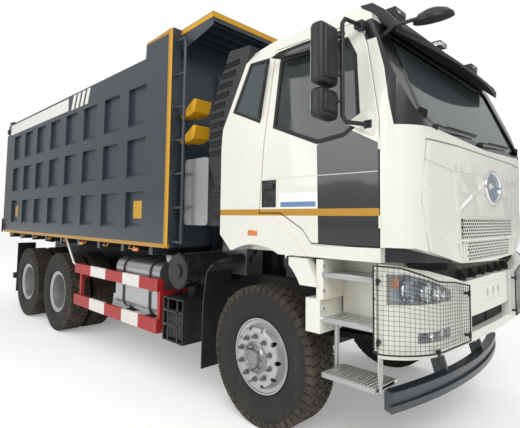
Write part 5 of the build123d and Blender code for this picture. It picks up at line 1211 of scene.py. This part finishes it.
# ---------------------------------------------------------------- doors, mirrors and steps
class TRUCK_OT_doors(bpy.types.Operator):
    """Window rubbers, wind deflectors, handles and blank stickers on both doors"""
    bl_idname = "truck.doors"
    bl_label = "Door fittings"

    def execute(self, context):
        width = context.scene.truck_sizes.rubber_width
        for side, sign in SIDES:
            body = "door_" + side
            facing = (0, sign, 0)
            pane_border("door_glass_" + side, "door_rubber_" + side, body, facing, width, 0.006, "rubber", 0.004)
            bm = bmesh.new()
            # deflector over the window's top and front edges
            prism(bm, [(0.205, 2.950), (0.30, 2.918), (0.60, 2.905), (0.88, 2.925), (0.905, 2.950), (0.88, 2.972),
                       (0.55, 2.985), (0.30, 2.978)], "Y", -1.268, -1.2425, 0.006)
            to_left(bm, sign)
            keep(bm, "wind_deflector_" + side, body, "frit", 30.0)
            # handle: dark cup with a pull across it and a lock
            bm = bmesh.new()
            slab(bm, (0.100, 0.252), (-1.2425, -1.2395), (1.762, 1.975), 0.0012)
            tube(bm, [(0.104, -1.2425, 1.766), (0.248, -1.2425, 1.766), (0.248, -1.2425, 1.971),
                      (0.104, -1.2425, 1.971)], 0.004, 8, closed=True)
            slab(bm, (0.118, 0.236), (-1.262, -1.2425), (1.90, 1.948), 0.008, 3)
            turned(bm, [(0.0, 0.0005), (-0.006, 0.014), (0.0, 0.017)], (ahead(0.175), -1.2425, 1.82), (0, 1, 0), 20)
            to_left(bm, sign)
            keep(bm, "door_handle_" + side, body, "black_plastic", 35.0)
            # hinge knuckles and the crease along the door
            bm = bmesh.new()
            for z in (1.66, 2.16):
                rod(bm, (1.150, -1.2405, z - 0.04), (1.150, -1.2405, z + 0.04), 0.010)
            for z, low, high in ((1.985, 0.085, 1.135), (1.990, 0.085, 0.66)):
                tube(bm, [(low, -1.2397, z), (high, -1.2397, z - 0.004)], 0.0028, 6)
            to_left(bm, sign)
            keep(bm, "door_trim_" + side, body, "cab_paint", 50.0)
            # pod at the door's front corner that carries the mirrors' lower arm
            bm = bmesh.new()
            prism(bm, [(0.905, 2.318), (1.112, 2.215), (1.128, 2.345), (1.060, 2.400), (1.015, 2.372)], "Y",
                  -1.252, -1.2385, 0.004)
            to_left(bm, sign)
            keep(bm, "mirror_pod_" + side, body, "cab_paint", 40.0)
        # small blank sticker behind the door's rear seam, and side marker lamps in the arches
        bm = bmesh.new()
        slab(bm, (-0.13, 0.02), (-1.2412, -1.2402), (1.765, 1.815))
        with_mirror(bm)
        keep(bm, "rear_stickers", "cab", "blank_plate")
        bm = bmesh.new()
        slab(bm, (-0.045, 0.062), (-1.262, -1.2395), (1.535, 1.578), 0.008, 3)
        with_mirror(bm)
        keep(bm, "arch_markers", "cab", "amber", 40.0)
        for side, sign in SIDES:
            pane_border("cab_glass", "quarter_rubber_" + side, "cab", (0, sign, 0), width * 0.8, 0.006, "rubber",
                        least=0.6)
        return {"FINISHED"}


class TRUCK_OT_mirrors(bpy.types.Operator):
    """Door mirrors with raised backs and bent arms, and the round kerb mirror"""
    bl_idname = "truck.mirrors"
    bl_label = "Mirrors"

    def execute(self, context):
        for side, sign in SIDES:
            body, node = "door_" + side, "door_mirrors_" + side
            bm = bmesh.new()
            for low, high in ((2.525, 2.925), (2.305, 2.500)):
                slab(bm, (0.850, 0.955), (-1.585, -1.390), (low, high), 0.036, 5)
                slab(bm, (0.935, 0.972), (-1.560, -1.440), (low + 0.035, high - 0.035), 0.016, 3)
            tube(bm, [(1.000, -1.215, 2.985), (0.985, -1.375, 2.978), (0.982, -1.402, 2.940), (0.982, -1.402, 2.330),
                      (1.000, -1.385, 2.292), (1.070, -1.255, 2.288)], 0.015, 12)
            for z in (2.43, 2.60, 2.86):
                rod(bm, (0.982, -1.402, z), (0.940, -1.430, z), 0.012)
            slab(bm, (0.965, 1.040), (-1.250, -1.172), (2.955, 3.010), 0.012, 3)
            slab(bm, (1.045, 1.105), (-1.256, -1.2402), (2.262, 2.318), 0.006)
            to_left(bm, sign)
            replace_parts(keep(bm, "mirror_heads_" + side, body, "black_plastic", 40.0), node)
            bm = bmesh.new()
            for low, high in ((2.525, 2.925), (2.305, 2.500)):
                slab(bm, (0.8475, 0.852), (-1.562, -1.412), (low + 0.022, high - 0.022), 0.0016)
            to_left(bm, sign)
            keep(bm, "mirror_faces_" + side, body, "mirror_face", 30.0)
        # kerb mirror: a domed shell with its glass below
        bm = merged("front_mirror")
        bmesh.ops.dissolve_limit(bm, angle_limit=math.radians(2.0), verts=bm.verts, edges=bm.edges)
        made = keep(bm, "kerb_mirror", "cab", "black_plastic", 40.0, 0.0, False)
        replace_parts(made, "front_mirror")
        soften(made, 0.003, 2, 30.0)
        return {"FINISHED"}


class TRUCK_OT_steps(bpy.types.Operator):
    """Perforated treads and the bright lowest step"""
    bl_idname = "truck.steps"
    bl_label = "Entry steps"

    def execute(self, context):
        bm = bmesh.new()
        for z, low, high in ((1.3035, 0.692, 1.094), (0.9985, 0.700, 1.094), (0.6265, 0.692, 1.108)):
            part = bmesh.new()
            sieve(part, 15, 8, lambda u, v: Vector((ahead(low + (high - low) * u), -1.229 + 0.262 * v, z)), 0.16,
                  0.4, 0.004)
            join_in(bm, part)
            slab(bm, (low, high), (-1.2335, -1.2295), (z - 0.030, z + 0.004), 0.0015)
        for x in (0.694, 1.106):
            slab(bm, (x - 0.004, x + 0.004), (-1.2335, -1.0), (0.598, 0.632), 0.0015)
        # bright hangers of the lowest step
        tube(bm, [(1.128, -1.215, 0.612), (1.128, -1.205, 0.76), (1.112, -1.19, 0.93)], 0.012, 10)
        tube(bm, [(0.721, -1.10, 0.63), (0.721, -1.10, 0.98)], 0.016, 10)
        with_mirror(bm)
        keep(bm, "step_treads", "chassis", "silver", 30.0)
        # bolts on the steps' side panels
        bm = bmesh.new()
        for x in (0.71, 1.095):
            for z in (1.35, 1.18, 1.06):
                turned(bm, [(0.0, 0.0005), (-0.006, 0.007), (-0.004, 0.010), (0.0, 0.011)],
                       (ahead(x), -1.2302, z), (0, 1, 0), 12)
        with_mirror(bm)
        keep(bm, "step_bolts", "chassis", "bolt", 40.0)
        return {"FINISHED"}


class TRUCK_OT_visor(bpy.types.Operator):
    """Clear marker lamps and moulded ribs on the sun visor"""
    bl_idname = "truck.visor"
    bl_label = "Visor lamps"

    def execute(self, context):
        skin = skin_of("sun_visor", "cab_shell")
        bm = bmesh.new()
        for y in (-0.78, 0.0):
            slab(bm, (0.985, 1.085), (y - 0.075, y + 0.075), (3.185, 3.228), 0.012, 3)
        slab(bm, (0.985, 1.085), (0.705, 0.855), (3.185, 3.228), 0.012, 3)
        keep(bm, "roof_lamps", "cab", "clear_lens", 40.0)
        bm = bmesh.new()
        for y in (-0.78, 0.0, 0.78):
            slab(bm, (0.992, 1.075), (y - 0.062, y + 0.062), (3.186, 3.214), 0.008, 2)
        keep(bm, "roof_lamp_bodies", "cab", "chrome", 40.0)
        # moulded ribs across the visor
        bm = bmesh.new()
        for z in (2.962, 3.04, 3.10):
            line = []
            for k in range(-18, 19):
                y = k / 18 * (1.03 - (z - 2.96) * 0.3)
                line.append((front_of(skin, y, z, 1.2) + 0.001, y, z))
            tube(bm, line, 0.0045, 6)
        keep(bm, "visor_ribs", "cab", "black_plastic", 50.0)
        return {"FINISHED"}


# ---------------------------------------------------------------- behind the cab and along the frame
class TRUCK_OT_intake(bpy.types.Operator):
    """Louvre blades and ribbed bellows of the air intake"""
    bl_idname = "truck.intake"
    bl_label = "Air intake"

    def execute(self, context):
        bm = bmesh.new()
        count = context.scene.truck_sizes.stack_slots
        for k in range(count):
            z = 2.24 + 0.088 * k * 10 / count
            back = -0.682 + max(0.0, z - 2.64) * 0.52
            for share in (0.25, 0.7):
                prism(bm, [(back + 0.006, z + 0.05 * share), (back + 0.200, z + 0.012 + 0.05 * share),
                           (back + 0.200, z + 0.018 + 0.05 * share), (back + 0.006, z + 0.006 + 0.05 * share)], "Y",
                      -1.178, -1.166)
        keep(bm, "intake_louvres", "cab", "black_plastic", 30.0)
        bm = bmesh.new()
        for k in range(9):
            z = 1.655 + 0.035 * k
            slab(bm, (-0.640, -0.490), (-1.155, -0.995), (z, z + 0.016), 0.007, 2)
        keep(bm, "intake_bellows", "cab", "rubber", 40.0)
        return {"FINISHED"}


def hose(bm, points, radius):
    """A smooth rigid pipe with a clamp at each end."""
    tube(bm, points, radius, 12, smooth=True)
    for end, near in ((points[0], points[1]), (points[-1], points[-2])):
        a, b = Vector(end), Vector(near)
        step = (b - a).normalized() * CLAMP_LENGTH
        rod(bm, tuple(a), tuple(a + step), radius * 1.15)


class TRUCK_OT_frame_side(bpy.types.Operator):
    """Tank straps and cap, battery box contents, filter clips, pipes, struts, side lamps and spring clamps"""
    bl_idname = "truck.frame_side"
    bl_label = "Along the frame"

    def execute(self, context):
        # fuel tank: dark straps and a filler cap
        bm = bmesh.new()
        for x in (-1.71, -2.30):
            line, half_y, half_z, round_off = [], 0.3275, 0.296, 0.118
            for corner, (sy, sz) in enumerate(((1, 1), (-1, 1), (-1, -1), (1, -1))):
                for k in range(7):
                    turn = math.pi / 2 * (corner + k / 6)
                    line.append((sy * (half_y - round_off) + round_off * math.cos(turn),
                                 sz * (half_z - round_off) + round_off * math.sin(turn)))
            ring = [(y - 0.8425, z + 0.895) for y, z in line]
            prism(bm, ring, "X", x + 0.002, x + 0.058)
            inner = [face for face in bm.faces if abs(face.normal.x) > 0.9]
            bmesh.ops.delete(bm, geom=inner, context="FACES_ONLY")
        keep(bm, "tank_straps", "chassis", "rubber", 50.0)
        bm = bmesh.new()
        turned(bm, [(0.0, 0.06), (0.03, 0.06), (0.036, 0.054), (0.036, 0.03), (0.03, 0.026), (0.03, 0.0005)],
               (ahead(-1.60), -0.9625, 1.228), (0, 0, 1), 28)
        for x in (-1.68, -1.68 + 0.03, -2.27, -2.24):
            rod(bm, (x, -1.172, 0.87), (x, -1.172, 0.93), 0.008)
        keep(bm, "tank_cap", "chassis", "bolt", 40.0)
        # battery box: two batteries behind the open side
        bm = bmesh.new()
        for low, high in ((-1.285, -1.145), (-1.125, -0.985)):
            slab(bm, (low, high), (-1.19, -0.90), (0.475, 0.70), 0.008)
            slab(bm, (low + 0.01, high - 0.01), (-1.185, -0.905), (0.70, 0.722), 0.006)
            for y in (-1.15, -0.94):
                rod(bm, ((low + high) / 2, y, 0.72), ((low + high) / 2, y, 0.748), 0.011, 0.009)
        keep(bm, "batteries", "chassis", "interior", 30.0)
        bm = bmesh.new()
        for x in (-1.215, -1.055):
            slab(bm, (x - 0.012, x + 0.012), (-1.237, -1.231), (0.46, 0.875), 0.002)
        slab(bm, (-1.306, -0.964), (-1.237, -1.231), (0.60, 0.625), 0.002)
        slab(bm, (-1.306, -0.964), (-1.237, -1.231), (0.74, 0.765), 0.002)
        # clips round the filter canister
        for k in range(6):
            turn = k * math.pi / 3
            x, z = -1.150 + 0.180 * math.sin(turn), 1.135 + 0.180 * math.cos(turn)
            slab(bm, (x - 0.010, x + 0.010), (-1.172, -1.120), (z - 0.010, z + 0.010), 0.003)
        keep(bm, "box_frame_and_clips", "chassis", "wire_black", 35.0)
        # pipes between the engine, the filter and the tanks
        bm = bmesh.new()
        hose(bm, [(-1.05, -0.80, 1.16), (-0.92, -0.78, 1.22), (-0.84, -0.66, 1.26), (-0.80, -0.52, 1.24)], 0.052)
        hose(bm, [(-1.32, -0.62, 1.00), (-1.40, -0.60, 0.96), (-1.44, -0.55, 0.99), (-1.49, -0.53, 1.04)], 0.014)
        hose(bm, [(-0.74, -0.56, 1.66), (-0.70, -0.52, 1.52), (-0.74, -0.48, 1.35), (-0.86, -0.46, 1.20)], 0.030)
        hose(bm, [(-0.74, 0.30, 1.50), (-0.68, 0.26, 1.34), (-0.72, 0.20, 1.15), (-0.80, 0.16, 1.00)], 0.022)
        keep(bm, "pipes", "chassis", "rubber", 50.0)
        # diagonal struts, guard brackets and side lamps
        bm = bmesh.new()
        tube(bm, [(-3.953, -1.222, 1.350), (-3.644, -1.222, 1.032)], 0.014, 10)
        tube(bm, [(-3.644, -1.222, 1.032), (-3.55, -1.222, 1.005)], 0.014, 10)
        with_mirror(bm)
        keep(bm, "guard_struts", "chassis", "blank_plate", 50.0)
        bm = bmesh.new()
        for x in (-1.878, -3.348):
            slab(bm, (x - 0.055, x + 0.055), (-1.262, -1.236), (1.296, 1.336), 0.008, 2)
        with_mirror(bm)
        keep(bm, "side_lamps", "load_body", "amber", 40.0)
        bm = bmesh.new()
        for x in (-3.42, -1.445):
            for z in (0.55, 0.967):
                turned(bm, [(0.0, 0.0005), (-0.007, 0.008), (-0.005, 0.013), (0.0, 0.014)],
                       (ahead(x), -1.2402, z), (0, 1, 0), 14)
        with_mirror(bm)
        keep(bm, "guard_bolts", "chassis", "bolt", 40.0)
        # springs' clamps on the axles, and dampers
        bm = bmesh.new()
        for y in (-0.347, -0.423):
            for x in (-0.062, 0.062):
                tube(bm, [(x, y, 0.50), (x, y, 0.70)], 0.010, 8)
        for x in (-4.20, -5.55):
            for y in (-0.44, -0.52):
                for dx in (-0.05, 0.05):
                    tube(bm, [(x + dx, y, 0.60), (x + dx, y, 0.72)], 0.010, 8)
        rod(bm, (0.14, -0.53, 0.58), (0.30, -0.50, 0.86), 0.030)
        rod(bm, (0.30, -0.50, 0.84), (0.38, -0.485, 1.0), 0.018)
        with_mirror(bm)
        keep(bm, "spring_clamps", "chassis", "wire_black", 45.0)
        return {"FINISHED"}


# ---------------------------------------------------------------- load body and tail
class TRUCK_OT_body(bpy.types.Operator):
    """Canopy edge tape, ladder, hooks and tarpaulin fittings of the load body"""
    bl_idname = "truck.body"
    bl_label = "Load body fittings"

    def execute(self, context):
        # gold tape strips that stand a hair proud of the canopy and the front wall's corners
        bm = bmesh.new()
        slab(bm, (-0.722, -0.716), (-1.130, 1.130), (3.652, 3.704))
        for y in (-1.1315, 1.1315):
            prism(bm, [(-1.29, 3.618), (-0.722, 3.652), (-0.722, 3.700), (-1.29, 3.668)], "Y", y - 0.0008, y + 0.0008)
        for sign in (-1, 1):
            slab(bm, (-1.2995, -1.2585), (sign * 1.238, sign * 1.2415), (1.372, 3.66))
        keep(bm, "canopy_tape", "load_body", "chock_yellow", 30.0)
        # ladder with bent hand rail and clamps
        bm = bmesh.new()
        tube(bm, [(-1.090, -1.19, 1.41), (-1.090, -1.19, 3.46), (-1.093, -1.19, 3.515), (-1.130, -1.19, 3.531),
                  (-1.258, -1.19, 3.531)], 0.016, 12)
        for k in range(6):
            z = 1.427 + 0.347 * k
            tube(bm, [(-1.259, -1.19, z), (-1.092, -1.19, z)], 0.0145, 12)
            slab(bm, (-1.263, -1.256), (-1.225, -1.155), (z - 0.028, z + 0.028), 0.003)
        made = keep(bm, "ladder_tubes", "load_body", "body_paint", 50.0)
        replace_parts(made, "ladder")
        # tarpaulin roll along the right rail, its hooks and rear bracket
        bm = bmesh.new()
        tube(bm, [(-1.86, -1.175, 3.492), (-7.02, -1.175, 3.492)], 0.020, 16)
        keep(bm, "tarpaulin_roll", "load_body", "canvas", 60.0)
        bm = bmesh.new()
        for k in range(9):
            x = -2.28 - 0.56 * k
            slab(bm, (x - 0.02, x + 0.02), (-1.205, -1.145), (3.470, 3.482), 0.003)
        slab(bm, (-7.085, -6.96), (-1.215, -1.12), (3.470, 3.535), 0.01)
        rod(bm, (-7.03, -1.13, 3.505), (-7.03, -1.245, 3.505), 0.018)
        with_mirror(bm)
        keep(bm, "rail_brackets", "load_body", "wire_black", 40.0)
        # rope hooks under the sides
        bm = bmesh.new()
        for k in range(8):
            x = -1.962 - 0.645 * k
            tube(bm, [(x - 0.05, -1.246, 1.352), (x - 0.05, -1.262, 1.318), (x + 0.05, -1.262, 1.318),
                      (x + 0.05, -1.246, 1.352)], 0.007, 8)
        with_mirror(bm)
        keep(bm, "rope_hooks", "load_body", "body_paint", 50.0)
        # tailgate hinge plates, latches and side lock
        bm = bmesh.new()
        for z in (1.42, 1.48):
            slab(bm, (-7.215, -7.02), (-1.253, -1.238), (z, z + 0.032), 0.004)
        rod(bm, (-7.13, -1.262, 1.36), (-7.13, -1.262, 1.62), 0.014)
        slab(bm, (-7.16, -7.06), (-1.255, -1.238), (3.29, 3.39), 0.01)
        with_mirror(bm)
        keep(bm, "gate_locks", "load_body", "wire_black", 40.0)
        return {"FINISHED"}


class TRUCK_OT_tail(bpy.types.Operator):
    """Rear lamps and a blank plate"""
    bl_idname = "truck.tail"
    bl_label = "Tail"

    def execute(self, context):
        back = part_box("rear_bar")[0].x - AXLE
        bm = bmesh.new()
        slab(bm, (back - 0.028, back - 0.0003), (-1.14, -0.74), (0.51, 0.595), 0.010, 2)
        with_mirror(bm)
        keep(bm, "rear_lamp_bodies", "chassis", "wire_black", 35.0)
        for word, low, high in (("red_lens", -1.13, -0.99), ("amber", -0.985, -0.88), ("clear_lens", -0.875, -0.75)):
            bm = bmesh.new()
            slab(bm, (back - 0.036, back - 0.024), (low, high), (0.517, 0.588), 0.005, 2)
            with_mirror(bm)
            keep(bm, "rear_lamp_" + word, "chassis", word, 35.0)
        bm = bmesh.new()
        slab(bm, (back - 0.006, back - 0.0003), (-0.27, 0.27), (0.495, 0.605), 0.003)
        keep(bm, "blank_rear_plate", "chassis", "blank_plate", 35.0)
        return {"FINISHED"}


# ---------------------------------------------------------------- inside the cab
def plumped(name, low, high, push, seams):
    """A cushion between two corners, swelled by cloth pressure, then given its sewn channels."""
    bm = bmesh.new()
    made = bmesh.ops.create_cube(bm, size=1.0)["verts"]
    size = [high[k] - low[k] for k in range(3)]
    bmesh.ops.scale(bm, verts=made, vec=[s * 0.94 for s in size])
    bmesh.ops.translate(bm, verts=made, vec=(ahead((low[0] + high[0]) / 2), (low[1] + high[1]) / 2,
                                            (low[2] + high[2]) / 2))
    round_edges(bm, made, min(size) * 0.22, 3)
    piece = keep(bm, name, "cab", "seat_fabric", 180.0)
    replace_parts(piece, "seats")
    remesh = piece.modifiers.new("even", "REMESH")
    remesh.mode = "VOXEL"
    remesh.voxel_size = 0.016
    settle(piece)
    start = [vert.co.copy() for vert in piece.data.vertices]
    cloth = piece.modifiers.new("swell", "CLOTH")
    cloth.settings.use_pressure = True
    cloth.settings.uniform_pressure_force = 4.0
    cloth.settings.effector_weights.gravity = 0.0
    scene = bpy.context.scene
    for number in range(1, 13):
        scene.frame_set(number)
    settle(piece)
    scene.frame_set(1)
    middle_point = Vector((ahead((low[0] + high[0]) / 2), (low[1] + high[1]) / 2, (low[2] + high[2]) / 2))
    for vert, was in zip(piece.data.vertices, start):
        move = vert.co - was
        if move.length > push:
            vert.co = was + move.normalized() * push
        for axis, place in seams:
            near = abs((vert.co - middle_point)[axis] - place)
            if near < 0.018:
                vert.co += (middle_point - vert.co).normalized() * 0.008 * (1 - near / 0.018)
    piece.data.materials.clear()
    piece.data.materials.append(MATERIALS["seat_fabric"])
    for face in piece.data.polygons:
        face.use_smooth = True
    smooth = piece.modifiers.new("finish", "SUBSURF")
    smooth.levels = smooth.render_levels = 1
    settle(piece)
    return piece


class TRUCK_OT_interior(bpy.types.Operator):
    """Padded seats on their boxes and papers behind the screen"""
    bl_idname = "truck.interior"
    bl_label = "Cab interior"

    def execute(self, context):
        for side, sign in SIDES:
            y = sign * 0.56
            plumped("seat_cushion_" + side, (-0.06, y - 0.25, 1.785), (0.475, y + 0.25, 1.925), 0.016,
                    ((1, -0.15), (1, 0.15), (0, 0.05)))
            plumped("seat_back_" + side, (-0.135, y - 0.24, 1.93), (0.02, y + 0.24, 2.465), 0.016,
                    ((1, -0.14), (1, 0.14), (2, 0.0)))
            plumped("seat_head_" + side, (-0.145, y - 0.13, 2.475), (-0.065, y + 0.13, 2.635), 0.010, ((2, 0.0),))
            bm = bmesh.new()
            slab(bm, (-0.04, 0.42), (y - 0.21, y + 0.21), (1.482, 1.78), 0.02)
            for spot in (y - 0.06, y + 0.06):
                rod(bm, (-0.105, spot, 2.44), (-0.105, spot, 2.50), 0.008)
            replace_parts(keep(bm, "seat_box_" + side, "cab", "interior", 35.0), "seats")
        bm = bmesh.new()
        for x, y, z, lean in ((1.235, -0.46, 2.345, 0.3), (1.23, -0.16, 2.34, 0.35)):
            made = bmesh.ops.create_grid(bm, x_segments=6, y_segments=6, size=0.5)["verts"]
            for vert in made:
                u, v = vert.co.x, vert.co.y
                vert.co = (ahead(x - lean * (v + 0.5) * 0.21 + 0.006 * math.sin(u * 5)), y + u * 0.15,
                           z + (v + 0.5) * 0.21)
        bmesh.ops.solidify(bm, geom=bm.faces[:], thickness=0.001)
        keep(bm, "papers", "cab", "paper", 60.0)
        return {"FINISHED"}


class TRUCK_OT_finishes(bpy.types.Operator):
    """All the truck's materials, from the colours of the panel"""
    bl_idname = "truck.finishes"
    bl_label = "Finishes"

    def execute(self, context):
        make_materials(context.scene.truck_colours)
        return {"FINISHED"}


# ---------------------------------------------------------------- panel and start
BUILDERS = (TRUCK_OT_finishes, TRUCK_OT_stage, TRUCK_OT_panels, TRUCK_OT_wheels, TRUCK_OT_lamps, TRUCK_OT_lamp_guards,
            TRUCK_OT_front, TRUCK_OT_doors, TRUCK_OT_mirrors, TRUCK_OT_steps, TRUCK_OT_visor, TRUCK_OT_intake,
            TRUCK_OT_frame_side, TRUCK_OT_body, TRUCK_OT_tail, TRUCK_OT_interior)


class TRUCK_PT_panel(bpy.types.Panel):
    """Sizes, colours and builders of the dump truck"""
    bl_idname = "TRUCK_PT_panel"
    bl_label = "Dump truck"
    bl_space_type = "VIEW_3D"
    bl_region_type = "UI"
    bl_category = "Truck"

    def draw(self, context):
        for group in (context.scene.truck_colours, context.scene.truck_sizes):
            box = self.layout.box()
            for name in group.__annotations__:
                box.prop(group, name)
        for builder in BUILDERS:
            self.layout.operator(builder.bl_idname)


CLASSES = (TruckColours, TruckSizes) + BUILDERS + (TRUCK_PT_panel,)


def register():
    """Adds the classes and the scene's settings."""
    for kind in CLASSES:
        bpy.utils.register_class(kind)
    bpy.types.Scene.truck_colours = PointerProperty(type=TruckColours)
    bpy.types.Scene.truck_sizes = PointerProperty(type=TruckSizes)


def unregister():
    """Takes the classes and the scene's settings away."""
    del bpy.types.Scene.truck_sizes
    del bpy.types.Scene.truck_colours
    for kind in reversed(CLASSES):
        bpy.utils.unregister_class(kind)


def main():
    """Builds everything in order."""
    register()
    for builder in BUILDERS:
        group, name = builder.bl_idname.split(".")
        getattr(getattr(bpy.ops, group), name)()


if __name__ == "__main__":
    main()
